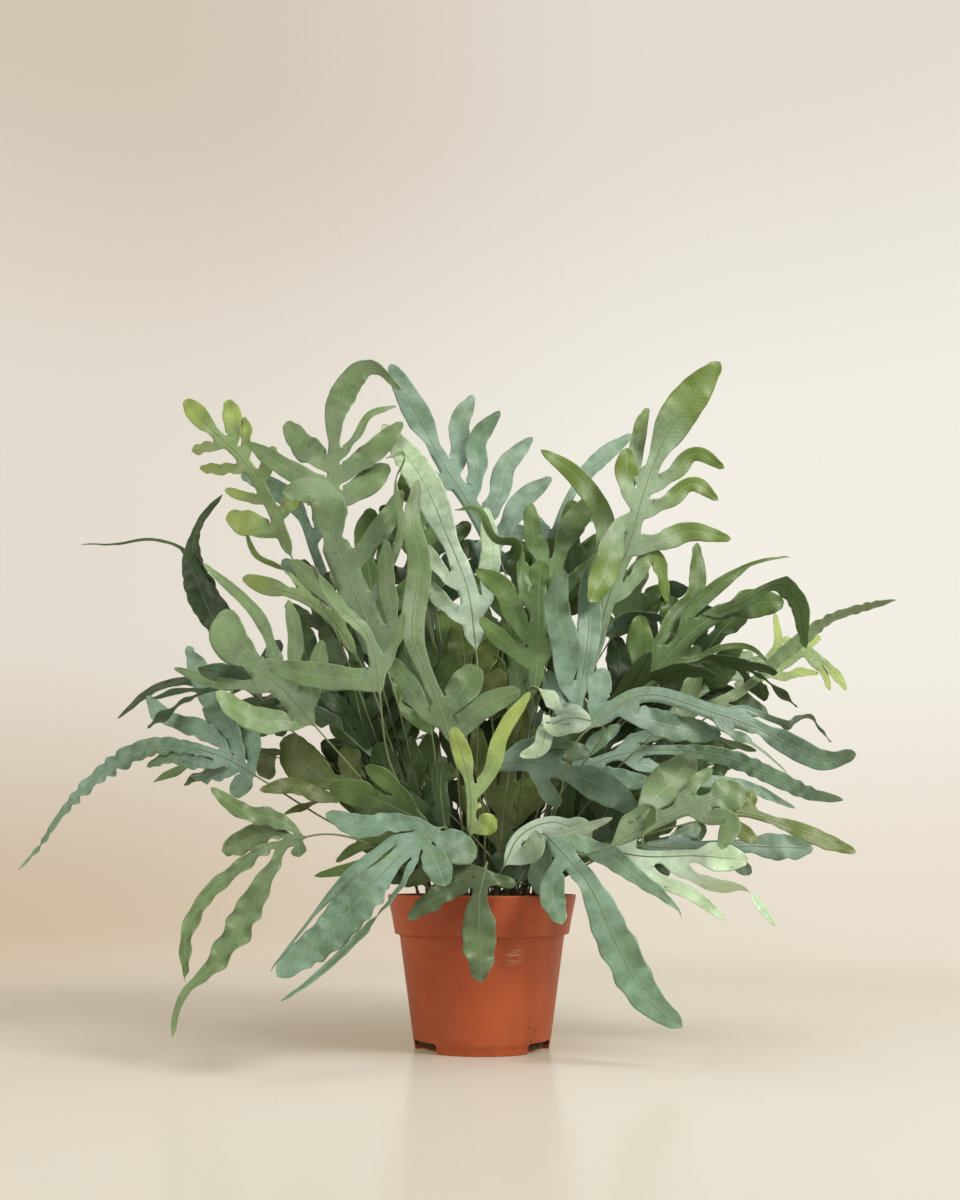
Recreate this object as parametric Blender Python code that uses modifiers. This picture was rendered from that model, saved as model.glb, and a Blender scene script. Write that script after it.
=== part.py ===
# A potted blue star fern: wavy lobed fronds on wiry stalks, in a turned plastic nursery pot filled with soil.
# Metres, +Z up. The origin is the middle of the pot's foot, and -Y is the front.
import math
import random

import bmesh
import bpy
from mathutils import Matrix, Quaternion, Vector
from mathutils.bvhtree import BVHTree

MM = 0.001
UP = Vector((0.0, 0.0, 1.0))

# The pot, a 19 cm nursery pot
RIM_RADIUS = 0.0950
POT_HEIGHT = 0.1460
COLLAR_RADIUS = 0.0885
COLLAR_BOTTOM = 0.1140
STEP_Z = 0.1070
BODY_RADIUS = 0.0828
FOOT_RADIUS = 0.0662
FOOT_STEP_Z = 0.0090
WALL = 0.0018
FLOOR_THICKNESS = 0.0030
FOOT_BEVEL = 0.0012
FOOT_STEP = 0.0005
SHOULDER = 0.0022
COLLAR_BEVEL = 0.0016
COLLAR_TURN = 0.0040
INNER_CORNER = 0.0040
INNER_STEP_Z = STEP_Z + 0.0015
POT_STEPS = 32
NOTCHES = 3
NOTCH_HALF_WIDTH = 0.0225
NOTCH_HEIGHT = 0.0095
NOTCH_DEPTH = 0.0300
NOTCH_OUT = 0.0040

# The soil, a shallow mound
SOIL_EDGE_Z = 0.1340
SOIL_MOUND = 0.0060
SOIL_GAP = 0.0003
SOIL_SIDE_GAP = 0.0005
SOIL_CORNER = 0.0045
SOIL_BEND_RADIUS = 0.0520
HOLE_DEPTH = 0.0130
HOLE_RISE = 0.0040
HOLE_RADIUS = 0.0027
HOLE_SIDES = 4

# The fronds
STALK_HALF = 0.0012
WING_HALF = 0.0026
BLADE_HALF = 0.0004
TIP_HALF = 0.0010
ROOT_RING = 0.0720
ROOT_SPACING = 0.0095
CLEARANCE = 0.0007
STALK_EMBED = 0.0008
STALK_STRAIGHT = 0.0040
STALK_LIFT = 0.10
BACK_LOBES = 6
BACK_WEB = 0.0055
NARROW_WEB = 4.5
WEB_OPENING = 0.0200
BACK_CROWN = 0.55
CROWN_REACH = 0.0900
STALK_DEPTH = 0.75
LOBE_CURL = 0.14
SPREAD_ROUNDS = 200
GROUND_MARGIN = 0.0040
RIM_MARGIN = 0.0030
SOIL_MARGIN = 0.0010
ROOT_SHARE = 0.45
WIDEST_ROOT = 0.0085
ROOT_GAP = 0.0012
RACHIS_GAP = 0.0016
RACHIS_BEND = 0.0009
STALK_BEND = 0.0080
SHARP_TURN = math.cos(math.radians(50))
CLOSEST_RINGS = 0.0050
LONG_LOBE = 0.0850

# How wide a lobe is along its length, as shares of the length and of its full width
TERMINAL_SHAPE = ((0.12, 0.54), (0.36, 0.96), (0.68, 0.92), (0.92, 0.50), (1.0, 0.0))
TAIL_SHAPE = ((0.12, 0.60), (0.34, 1.0), (0.56, 0.76), (0.74, 0.32), (0.90, 0.22), (1.0, 0.0))
BACK_SHAPE = ((0.28, 0.90), (0.72, 0.90), (1.0, 0.0))
SHORT_SHAPE = ((0.25, 0.86), (0.58, 1.0), (0.87, 0.62), (1.0, 0.0))
LONG_SHAPE = ((0.16, 0.78), (0.36, 1.0), (0.56, 0.90), (0.76, 0.80), (0.92, 0.45), (1.0, 0.0))

# A frond of the back rises, arches over and droops: shares of its reach and of its height
ARCH = ((0.30, 0.62), (0.48, 0.86), (0.66, 0.99), (0.84, 0.97), (1.0, 0.80))

# How a frond may be bent clear of the others: pushed back or forward in millimetres, tilted in degrees, and its
# lobes swayed by a share of their length. SWEEPS, CHOICES and ROUNDS bound the search.
PUSHES = (0, 8, -8, 16, -16, 26, -26, 38, -38, 52, -52, 68, -68)
TILTS = (0, 9, -9, 18, -18)
SWAYS = (0.0, 0.12, -0.12, 0.24, -0.24, 0.36, -0.36, 0.5, -0.5, 0.65, -0.65)
SWEEPS = 6
CHOICES = 5
ROUNDS = 3

# The fronds of the front are laid out as an eye at the front sees them. Their points are picture coordinates,
# 960 across and 1200 down, and a frond's depth in millimetres places it behind the pot's axis.
EYE = Vector((-0.0020, -1.2200, 0.1655))
EYE_TILT = math.radians(13.24)
PICTURE_CENTRE = (480.0, 600.0)
FOCUS = 35.0 / 36.0 * 1200.0

LEAF_COLOURS = {
    "blue": (0.20, 0.33, 0.27),
    "grey": (0.24, 0.32, 0.22),
    "green": (0.16, 0.27, 0.09),
    "lime": (0.36, 0.45, 0.10),
    "olive": (0.20, 0.22, 0.07),
    "dark": (0.07, 0.13, 0.04),
    "silver": (0.38, 0.47, 0.38),
}


def lobe(station, width, *points, twist=0.0):
    # A lobe leaves the rachis at a station, counted in points of the rachis, and runs through points to its tip.
    return {"station": station, "width": width, "points": points, "twist": twist}


def frond(name, leaf, depth, face, width, path, lobes, stalk=(), twist=0.0, tail=False, web=NARROW_WEB):
    # face is where the blade looks, in degrees to the right of the front and up. A tail is a long thin tip, and
    # the web is how far the blade reaches to either side of the rachis between two lobes.
    return {
        "name": name, "leaf": leaf, "depth": depth, "face": face, "width": width,
        "path": path, "lobes": lobes, "stalk": stalk, "twist": twist, "tail": tail, "web": web,
    }


FRONT_FRONDS = [
    frond("frond_top_left_lime", "lime", 30, (-20, 20), 23,
          [(291, 556), (268, 500), (240, 456), (212, 430), (185, 400)],
          [lobe(0.5, 27, (228, 513)), lobe(1.1, 12, (225, 489)), lobe(1.8, 16, (200, 467)),
           lobe(2.6, 18, (193, 447)), lobe(0.7, 17, (298, 495)), lobe(1.45, 17, (272, 446)),
           lobe(2.0, 14, (243, 417)), lobe(2.45, 21, (227, 400))],
          stalk=[(314, 590)], web=6),
    frond("frond_top_arch", "green", 30, (-8, 12), 30,
          [(336, 545), (334, 500), (334, 450), (339, 404), (364, 370), (401, 390, -25)],
          [lobe(1.0, 26, (388, 464)), lobe(1.3, 22, (249, 443)), lobe(1.5, 24, (402, 422)),
           lobe(1.75, 29, (286, 422)), lobe(1.9, 9, (370, 415), (396, 406))], tail=True, web=6),
    frond("frond_dark_back_left", "blue", 120, (-15, 20), 22,
          [(335, 610), (315, 552), (297, 508), (268, 485), (241, 475)],
          [lobe(0.6, 20, (282, 560)), lobe(1.3, 20, (318, 500))], web=5),
    frond("frond_blue_top_centre", "blue", 40, (12, 22), 28,
          [(500, 560), (475, 512), (445, 466), (415, 410), (391, 364)],
          [lobe(0.4, 23, (516, 508), (551, 477)), lobe(0.9, 23, (504, 470), (532, 437)),
           lobe(1.4, 22, (477, 442), (500, 411)), lobe(1.95, 23, (459, 427), (473, 395)),
           lobe(1.7, 20, (402, 462))], web=8),
    frond("frond_blue_upper_right", "blue", 70, (20, 18), 19,
          [(545, 600), (558, 525), (577, 485), (602, 457), (632, 434)],
          [lobe(0.8, 18, (520, 500)), lobe(1.5, 15, (596, 520))]),
    frond("frond_grey_upper_left", "grey", -35, (-12, 15), 38,
          [(384, 662), (362, 610), (335, 545), (314, 492), (283, 494, -20)],
          [lobe(0.4, 19, (387, 590), (386, 539)), lobe(1.7, 24, (402, 490)),
           lobe(1.1, 9, (401, 530), (396, 478), (404, 455), (386, 458), twist=0.4),
           lobe(1.2, 22, (292, 560))], twist=0.1, web=15),
    frond("frond_grey_left_level", "grey", -62, (-10, 12), 17,
          [(380, 695), (378, 672), (368, 636), (342, 608), (311, 565)],
          [lobe(0.7, 28, (320, 676), (268, 666)), lobe(1.2, 12, (404, 612))],
          stalk=[(389, 760)], twist=0.3, web=7),
    frond("frond_lime_left", "lime", 5, (-15, 20), 21,
          [(356, 655), (331, 617), (300, 596), (270, 587), (243, 577)],
          [lobe(2.0, 8, (257, 556), (245, 530), twist=0.6), lobe(0.9, 16, (340, 590))], web=6),
    frond("frond_grey_left_large", "grey", -55, (-15, 12), 40,
          [(315, 726), (286, 692), (252, 662), (227, 634), (226, 609)],
          [lobe(0.35, 26, (252, 718), (216, 692)), lobe(1.5, 13, (174, 668)),
           lobe(0.55, 20, (322, 640)), lobe(1.15, 18, (288, 600)),
           lobe(1.6, 14, (262, 622, 25), (203, 563, 40))],
          stalk=[(362, 780)], web=11),
    frond("frond_dark_far_left", "dark", 60, (-12, 14), 31,
          [(262, 700), (235, 660), (216, 624), (201, 590), (192, 556), (200, 523), (222, 495)],
          [lobe(0.5, 9, (187, 681), (158, 687), (118, 718)), lobe(0.4, 20, (280, 640)),
           lobe(1.1, 18, (200, 584), (180, 554), (152, 545), (118, 548), (81, 545), twist=0.08)],
          tail=True, web=7),
    frond("frond_long_left", "blue", 0, (-18, 12), 21,
          [(256, 776), (233, 762), (192, 748), (147, 748), (101, 774), (60, 816), (37, 850), (19, 869)],
          [lobe(0.75, 20, (193, 775), twist=0.2), lobe(1.2, 16, (172, 757), (147, 766)),
           lobe(0.3, 20, (233, 797)),
           lobe(0.2, 24, (236, 704)), lobe(0.6, 28, (213, 700), (187, 646)),
           lobe(1.2, 25, (166, 720), (147, 696))],
          stalk=[(318, 815)], twist=0.04, tail=True),
    frond("frond_hanging_left", "green", -90, (8, 10), 27,
          [(306, 837), (288, 842), (274, 864), (256, 896), (238, 929), (211, 968), (182, 997), (172, 1036)],
          [lobe(0.2, 18, (245, 812), (211, 788)), lobe(0.85, 27, (255, 838), (222, 851)),
           lobe(1.3, 15, (238, 868), (205, 898), (187, 934), (186, 982)),
           lobe(0.6, 14, (299, 857))],
          stalk=[(345, 836)], twist=0.04, tail=True),
    frond("frond_big_lower_left", "blue", -105, (5, 22), 37,
          [(440, 828), (415, 842), (382, 874), (353, 906), (327, 936), (300, 957), (277, 976)],
          [lobe(0.25, 32, (476, 858)), lobe(0.8, 28, (445, 886)),
           lobe(1.1, 8, (378, 915), (332, 962), (305, 985), (282, 1001), twist=0.6),
           lobe(0.5, 27, (368, 828), (326, 813)), lobe(1.0, 17, (337, 894), (308, 932), (271, 972))], web=8),
    frond("frond_low_left_green", "green", -70, (-12, 18), 27,
          [(432, 828), (404, 812), (366, 796), (329, 787)],
          [lobe(0.35, 15, (372, 862, 15), (315, 876)), lobe(0.9, 13, (352, 850, 25), (336, 862, 30)),
           lobe(1.2, 18, (366, 766))], web=8),
    frond("frond_olive_left", "olive", -25, (-18, 15), 40,
          [(372, 790), (340, 785), (308, 768), (284, 737)],
          [lobe(0.5, 18, (300, 786), (260, 790)), lobe(0.25, 9, (311, 803), (292, 812), (271, 828), twist=0.5),
           lobe(0.9, 24, (345, 745))], web=8),
    frond("frond_front_tongue", "blue", -112, (3, 6), 34,
          [(486, 866), (480, 892), (479, 935), (481, 982)],
          [lobe(0.75, 19, (440, 895), (408, 919)), lobe(0.3, 20, (430, 872), (403, 886)),
           lobe(0.4, 13, (516, 884))], web=7),
    frond("frond_front_lime", "lime", -92, (0, 15), 19,
          [(470, 836), (471, 800), (467, 772), (459, 745), (453, 727)],
          [lobe(0.15, 24, (497, 821)), lobe(1.35, 17, (500, 738), (530, 692)), lobe(0.9, 8, (480, 803))]),
    frond("frond_front_grey", "grey", -78, (-5, 22), 26,
          [(452, 745), (438, 702), (429, 680), (414, 640), (419, 560), (412, 520), (418, 480)],
          [lobe(0.7, 22, (403, 676), (372, 652)), lobe(0.95, 34, (475, 665)),
           lobe(0.35, 25, (482, 708), (520, 690))], twist=0.1, web=7),
    frond("frond_silver_centre", "silver", -38, (-8, 18), 34,
          [(476, 650), (468, 590), (447, 535), (424, 482), (383, 424)],
          [lobe(0.7, 22, (486, 507)), lobe(0.6, 17, (430, 582)), lobe(1.2, 16, (426, 545))], web=10),
    frond("frond_olive_centre", "olive", -12, (0, 20), 37,
          [(492, 722), (486, 680), (478, 640), (471, 607)],
          [lobe(0.3, 24, (530, 660)), lobe(0.5, 22, (448, 648))], web=12),
    frond("frond_green_upper", "green", 15, (8, 20), 27,
          [(558, 650), (556, 600), (558, 562), (576, 520), (600, 493)],
          [lobe(1.8, 22, (531, 503)), lobe(1.4, 18, (612, 548)), lobe(0.8, 20, (520, 560))], web=7),
    frond("frond_green_upright", "green", -58, (5, 15), 27,
          [(566, 735), (580, 690), (589, 630), (588, 567)],
          [lobe(0.5, 12, (592, 672), (606, 625)), lobe(0.9, 30, (566, 650, -10), (556, 604, -24), (564, 570, -28)),
           lobe(0.45, 20, (548, 670))], web=6),
    frond("frond_green_centre", "green", 0, (-5, 22), 24,
          [(533, 696), (538, 650), (538, 606), (541, 560)],
          [lobe(1.3, 25, (504, 590), (476, 570)), lobe(0.8, 18, (480, 618)), lobe(1.0, 20, (566, 600)),
           lobe(2.1, 10, (520, 545), (497, 540), (475, 508), (455, 510), twist=0.6)], web=8),
    frond("frond_lime_top_right", "lime", -35, (12, 12), 36,
          [(597, 640), (613, 585), (630, 542), (641, 502), (653, 466), (679, 414), (720, 362)],
          [lobe(3.7, 25, (642, 440), (648, 408)), lobe(2.95, 25, (627, 448)),
           lobe(2.5, 33, (614, 552, -25), (590, 602, -45)),
           lobe(1.3, 22, (605, 525, 20), (575, 475, 30), (541, 450, 30)),
           lobe(3.6, 18, (694, 454), (724, 468)), lobe(2.9, 18, (692, 484), (718, 500)),
           lobe(2.0, 22, (687, 532), (731, 539)), lobe(0.9, 17, (650, 556), (668, 602))], web=7),
    frond("frond_grey_right_long", "grey", -35, (15, 15), 17,
          [(648, 742), (695, 712), (746, 687), (777, 659), (806, 636), (834, 617), (862, 608), (897, 600)],
          [lobe(0.8, 20, (700, 672)), lobe(1.4, 18, (752, 716))], twist=0.25),
    frond("frond_right_middle", "green", 5, (15, 18), 30,
          [(640, 692), (672, 652), (705, 622), (740, 606), (784, 602)],
          [lobe(0.6, 21, (694, 596), (697, 543)), lobe(1.6, 23, (732, 582), (790, 558)),
           lobe(0.9, 7, (720, 648), (751, 648), (770, 664)), lobe(0.3, 26, (640, 615)),
           lobe(2.3, 23, (772, 580), (795, 597), (806, 648))], web=8),
    frond("frond_right_star", "lime", 70, (25, 20), 11,
          [(728, 702), (760, 678), (786, 664), (812, 654), (830, 668), (846, 690)],
          [lobe(2.9, 12, (820, 636)), lobe(2.5, 12, (786, 636)), lobe(1.4, 10, (776, 650), (775, 612)),
           lobe(1.5, 11, (800, 672), (818, 673)), lobe(2.8, 9, (820, 668), (830, 690))]),
    frond("frond_right_small", "grey", 30, (20, 20), 19,
          [(662, 722), (700, 692), (732, 676), (766, 660)],
          [lobe(1.5, 12, (724, 656)), lobe(2.3, 15, (752, 652)), lobe(2.2, 14, (738, 693)),
           lobe(0.6, 22, (668, 668))]),
    frond("frond_right_dark", "dark", -8, (10, 18), 26,
          [(628, 716), (676, 697), (720, 697), (768, 714)],
          [lobe(0.4, 24, (640, 660)), lobe(0.7, 22, (690, 735))], web=8),
    frond("frond_right_wavy_upper", "blue", -62, (8, 14), 24,
          [(590, 728), (640, 695), (713, 712), (755, 727), (792, 746), (822, 760), (856, 754)],
          [lobe(0.7, 28, (690, 730, 12), (721, 734, 20)),
           lobe(2.6, 12, (785, 725), (806, 716), (831, 742), twist=0.4),
           lobe(2.3, 12, (752, 742)), lobe(0.3, 26, (604, 668, 15))], twist=0.12, web=8),
    frond("frond_right_wavy_lower", "blue", -45, (10, 14), 19,
          [(565, 778), (610, 757), (676, 750), (735, 760), (776, 778), (811, 794), (843, 800)],
          [lobe(1.3, 20, (696, 732), (742, 745), (788, 775, 8)), lobe(1.3, 13, (745, 786), (795, 808)),
           lobe(0.6, 20, (650, 782)), lobe(0.4, 18, (620, 725))], twist=0.15, web=5),
    frond("frond_right_broad", "grey", -95, (5, 18), 35,
          [(610, 846), (640, 829), (682, 810), (714, 799), (745, 790)],
          [lobe(0.6, 18, (644, 812), (646, 846, -6)), lobe(2.6, 20, (726, 818), (722, 849)),
           lobe(1.1, 44, (676, 776, 10), (694, 754, 12)), lobe(2.2, 14, (712, 768, 8))], web=7),
    frond("frond_right_olive", "olive", -50, (12, 15), 17,
          [(694, 822), (735, 812), (786, 825), (826, 841), (856, 852)],
          [lobe(0.8, 16, (758, 842)), lobe(1.3, 13, (752, 790))]),
    frond("frond_right_pale_green", "silver", -95, (-4, 14), 27,
          [(590, 846), (640, 856), (700, 856), (748, 860)],
          [lobe(1.6, 14, (720, 886), (746, 890), (762, 908), (775, 926), twist=0.45),
           lobe(1.0, 15, (690, 893), (726, 920)), lobe(0.7, 18, (640, 812, 10))], web=6),
    frond("frond_right_back_wavy", "blue", -30, (15, 15), 28,
          [(640, 846), (690, 848), (752, 846), (813, 848)],
          [lobe(0.8, 18, (700, 826)), lobe(1.6, 16, (752, 872, 20))], web=7),
    frond("frond_hanging_right", "blue", -104, (-6, 8), 37,
          [(548, 836), (566, 856), (586, 880), (599, 903), (610, 930), (625, 960), (647, 998), (682, 1027)],
          [lobe(0.45, 34, (611, 866), (645, 893), (681, 918)),
           lobe(0.4, 26, (538, 895, -8)), lobe(1.1, 24, (552, 890, 4), (562, 924, 2))], web=9),
    frond("frond_blue_band", "blue", -80, (5, 16), 32,
          [(486, 766), (525, 762), (566, 772), (604, 788), (639, 812)],
          [lobe(0.8, 26, (572, 742)), lobe(1.6, 20, (590, 752, 10)), lobe(1.4, 18, (560, 806, 12))], web=9),
    frond("frond_front_fold", "silver", -96, (4, 14), 27,
          [(504, 866), (520, 836), (552, 822), (592, 838)],
          [lobe(0.35, 30, (528, 848, -12), (536, 830, -16)), lobe(2.0, 14, (586, 853)),
           lobe(1.7, 11, (612, 818))], web=6),
    frond("frond_pale_fold", "silver", -82, (6, 14), 17,
          [(596, 722), (572, 718), (548, 728), (540, 748), (520, 756)],
          [lobe(0.6, 16, (560, 712), (545, 690), (528, 688), twist=0.2),
           lobe(0.9, 14, (552, 728, -6), (545, 712, -8))]),
    frond("frond_dark_centre", "dark", -66, (-5, 15), 33,
          [(446, 832), (442, 806), (440, 780), (444, 762)],
          [lobe(1.6, 15, (430, 768), (412, 768)), lobe(0.7, 20, (404, 792, 10))], web=8),
    frond("frond_low_dark_left", "dark", -38, (-10, 20), 28,
          [(436, 858), (410, 822), (390, 782), (378, 742)],
          [lobe(0.3, 24, (356, 842)), lobe(1.1, 22, (340, 778)), lobe(0.6, 22, (432, 776)),
           lobe(1.4, 18, (410, 736))], web=8),
    frond("frond_low_dark_right", "dark", -34, (10, 20), 28,
          [(556, 858), (586, 820), (612, 780), (636, 742)],
          [lobe(0.3, 24, (640, 842)), lobe(1.1, 22, (664, 786)), lobe(0.6, 22, (570, 768)),
           lobe(1.4, 18, (604, 728))], web=8),
    frond("frond_low_olive_middle", "olive", -20, (0, 22), 27,
          [(500, 858), (504, 806), (512, 756), (524, 706)],
          [lobe(0.5, 22, (462, 786)), lobe(1.1, 22, (476, 726)), lobe(0.8, 22, (552, 778)),
           lobe(1.3, 18, (562, 728))], web=8),
]

# The fronds of the sides and the back grow by rule: (compass angle, reach, height, blade share, leaf).
# The compass angle is in degrees from +X towards the back, lengths are in millimetres.
BACK_FRONDS = [
    (8, 360, 210, 0.62, "green"), (24, 300, 330, 0.58, "blue"), (38, 390, 190, 0.62, "grey"),
    (52, 250, 400, 0.56, "green"), (64, 350, 250, 0.60, "blue"), (78, 400, 150, 0.62, "dark"),
    (90, 240, 430, 0.56, "blue"), (101, 340, 290, 0.60, "green"), (114, 400, 180, 0.62, "grey"),
    (127, 260, 390, 0.56, "dark"), (140, 360, 240, 0.60, "blue"), (154, 390, 160, 0.62, "green"),
    (168, 320, 300, 0.58, "grey"), (184, 350, 190, 0.60, "blue"), (357, 330, 245, 0.60, "dark"),
]


def clear_scene():
    for item in list(bpy.data.objects):
        bpy.data.objects.remove(item, do_unlink=True)


def new_collection(name):
    collection = bpy.data.collections.new(name)
    bpy.context.scene.collection.children.link(collection)
    return collection


def material(name, colour, roughness):
    made = bpy.data.materials.get(name)
    if made is None:
        made = bpy.data.materials.new(name)
        made.use_nodes = True
        shader = made.node_tree.nodes["Principled BSDF"]
        shader.inputs["Base Color"].default_value = (*colour, 1.0)
        shader.inputs["Roughness"].default_value = roughness
        made.diffuse_color = (*colour, 1.0)
    return made


def add_object(name, vertices, edges, faces, collection, finish=None):
    mesh = bpy.data.meshes.new(name)
    mesh.from_pydata([tuple(v) for v in vertices], edges, faces)
    made = bpy.data.objects.new(name, mesh)
    collection.objects.link(made)
    if finish is not None:
        mesh.materials.append(finish)
    return made


def turned(name, profile, steps, collection, finish):
    # A turned body. The profile runs from the middle of the underside, up the outer side and back in to the axis.
    points = [(radius, 0.0, z) for radius, z in profile]
    edges = [(i, i + 1) for i in range(len(points) - 1)]
    made = add_object(name, points, edges, [], collection, finish)
    screw = made.modifiers.new("Turn", "SCREW")
    screw.axis = "Z"
    screw.steps = steps
    screw.render_steps = steps
    screw.use_merge_vertices = True
    screw.merge_threshold = 0.00001
    screw.use_normal_calculate = True
    screw.use_smooth_shade = True
    return made


def arc(centre, radius, start, stop, count):
    return [(centre[0] + radius * math.cos(math.radians(start + (stop - start) * i / count)),
             centre[1] + radius * math.sin(math.radians(start + (stop - start) * i / count)))
            for i in range(count + 1)]


def outer_radius(z):
    # The outer wall under the collar tapers evenly to the foot.
    return FOOT_RADIUS + (BODY_RADIUS - FOOT_RADIUS) * z / STEP_Z


def pot_profile():
    lip = WALL / 2
    low = outer_radius(FOOT_STEP_Z)
    outside = [(0.0, 0.0), (FOOT_RADIUS - FOOT_BEVEL, 0.0), (FOOT_RADIUS, FOOT_BEVEL),
               (low, FOOT_STEP_Z), (low + FOOT_STEP, FOOT_STEP_Z + FOOT_STEP), (BODY_RADIUS, STEP_Z)]
    shoulder = [(BODY_RADIUS + SHOULDER, STEP_Z + SHOULDER / 10),
                (COLLAR_RADIUS - COLLAR_BEVEL, COLLAR_BOTTOM - COLLAR_TURN), (COLLAR_RADIUS, COLLAR_BOTTOM)]
    rim = [(RIM_RADIUS, POT_HEIGHT - lip)]
    rim += arc((RIM_RADIUS - lip, POT_HEIGHT - lip), lip, 30, 180, 3)
    inside = [(COLLAR_RADIUS - WALL, COLLAR_BOTTOM), (BODY_RADIUS - WALL, INNER_STEP_Z),
              (low - WALL, FLOOR_THICKNESS + INNER_CORNER), (low - WALL - INNER_CORNER, FLOOR_THICKNESS),
              (0.0, FLOOR_THICKNESS)]
    return outside + shoulder + rim + inside


def inner_radius(z):
    # The pot's inner wall, as its profile turns it.
    top = (RIM_RADIUS - WALL, POT_HEIGHT)
    bends = [(outer_radius(FOOT_STEP_Z) - WALL, FLOOR_THICKNESS + INNER_CORNER),
             (BODY_RADIUS - WALL, INNER_STEP_Z),
             (COLLAR_RADIUS - WALL, COLLAR_BOTTOM), top]
    for (r0, z0), (r1, z1) in zip(bends, bends[1:]):
        if z <= z1:
            return r0 + (r1 - r0) * (z - z0) / (z1 - z0)
    return top[0]


def soil_height(radius):
    edge = inner_radius(SOIL_EDGE_Z)
    return SOIL_EDGE_Z + SOIL_MOUND * (1 - (radius / edge) ** 2)


def soil_profile():
    bottom = FLOOR_THICKNESS + SOIL_GAP
    side = [(inner_radius(z) - SOIL_SIDE_GAP, z) for z in (INNER_STEP_Z, COLLAR_BOTTOM, SOIL_EDGE_Z)]
    corner = outer_radius(FOOT_STEP_Z) - WALL - 2 * SOIL_GAP
    low = [(0.0, bottom), (corner - SOIL_CORNER, bottom), (corner, bottom + SOIL_CORNER)]
    top = [(SOIL_BEND_RADIUS, soil_height(SOIL_BEND_RADIUS)), (0.0, soil_height(0.0))]
    return low + side + top


def cut(target, cutter):
    boolean = target.modifiers.new(cutter.name, "BOOLEAN")
    boolean.operation = "DIFFERENCE"
    boolean.object = cutter
    boolean.solver = "EXACT"


def hidden(item):
    item.hide_render = True
    item.display_type = "WIRE"
    return item


def build_pot(parts, cutters):
    pot = turned("pot", pot_profile(), POT_STEPS, parts, material("terracotta_plastic", (0.50, 0.16, 0.06), 0.45))
    for i in range(NOTCHES):
        turn = math.radians(-90 + 180 / NOTCHES + 360 / NOTCHES * i)
        bpy.ops.mesh.primitive_cube_add(size=1.0)
        notch = bpy.context.object
        notch.name = f"notch_cutter_{i + 1}"
        notch.scale = (NOTCH_DEPTH, 2 * NOTCH_HALF_WIDTH, 2 * NOTCH_HEIGHT)
        reach = FOOT_RADIUS + NOTCH_OUT
        notch.location = (math.cos(turn) * reach, math.sin(turn) * reach, 0.0)
        notch.rotation_euler = (0.0, 0.0, turn)
        for owner in list(notch.users_collection):
            owner.objects.unlink(notch)
        cutters.objects.link(hidden(notch))
        cut(pot, notch)
    return pot


class Path:
    # A smooth curve through points, measured along its length. At the point numbered lead it heads for the next.
    def __init__(self, points, lead=None, steps=8):
        self.points = [points[0].copy()]
        self.marks = [0]
        padded = [points[0] * 2 - points[1]] + list(points) + [points[-1] * 2 - points[-2]]
        for i, (before, a, b, after) in enumerate(zip(padded, padded[1:], padded[2:], padded[3:])):
            span = (b - a).length
            out = ((b - a).normalized() if i == lead else self.slope(before, a, b)) * span
            back = ((after - b).normalized() if i + 1 == lead else self.slope(a, b, after)) * span
            for k in range(1, steps + 1):
                t = k / steps
                self.points.append(
                    a * (2 * t ** 3 - 3 * t ** 2 + 1) + out * (t ** 3 - 2 * t ** 2 + t)
                    + b * (3 * t ** 2 - 2 * t ** 3) + back * (t ** 3 - t ** 2))
            self.marks.append(len(self.points) - 1)
        self.reach = [0.0]
        for a, b in zip(self.points, self.points[1:]):
            self.reach.append(self.reach[-1] + (b - a).length)
        self.length = self.reach[-1]
        self.turn = self.reach[self.marks[lead]] if lead is not None else -1.0

    @staticmethod
    def slope(a, b, c):
        # The heading at b, weighted towards the shorter side.
        first, second = (b - a), (c - b)
        return (first.normalized() * second.length + second.normalized() * first.length).normalized()

    def place(self, s):
        s = min(max(s, 0.0), self.length)
        low, high = 0, len(self.reach) - 1
        while high - low > 1:
            middle = (low + high) // 2
            if self.reach[middle] <= s:
                low = middle
            else:
                high = middle
        span = self.reach[high] - self.reach[low]
        return low, high, (s - self.reach[low]) / span if span > 0 else 0.0

    def at(self, s):
        low, high, t = self.place(s)
        return self.points[low].lerp(self.points[high], t)

    def heading(self, s):
        low, high = s - self.length * 0.01, s + self.length * 0.01
        if s >= self.turn:
            low = max(low, self.turn)
        else:
            high = min(high, self.turn)
        return (self.at(high) - self.at(low)).normalized()

    def station(self, value):
        index = min(int(value), len(self.marks) - 2)
        low, high = self.reach[self.marks[index]], self.reach[self.marks[index + 1]]
        return low + (high - low) * (value - index)


def sight(x, y):
    # The line of sight through a picture point.
    forward = Vector((0.0, math.cos(EYE_TILT), math.sin(EYE_TILT)))
    upward = Vector((0.0, -math.sin(EYE_TILT), math.cos(EYE_TILT)))
    right = Vector((1.0, 0.0, 0.0))
    return (forward * FOCUS + right * (x - PICTURE_CENTRE[0]) + upward * (PICTURE_CENTRE[1] - y)).normalized()


def at_depth(point, depth):
    line = sight(*point[:2])
    return EYE + line * ((depth * MM - EYE.y) / line.y)


def on_blade(point, base, normal):
    # A picture point on the blade's plane, moved along the line of sight by its third number if it has one.
    line = sight(*point[:2])
    spot = EYE + line * ((base - EYE).dot(normal) / line.dot(normal))
    return spot + line * (point[2] * MM if len(point) > 2 else 0.0)


def picture_scale(point):
    forward = Vector((0.0, math.cos(EYE_TILT), math.sin(EYE_TILT)))
    return (point - EYE).dot(forward) / FOCUS


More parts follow.
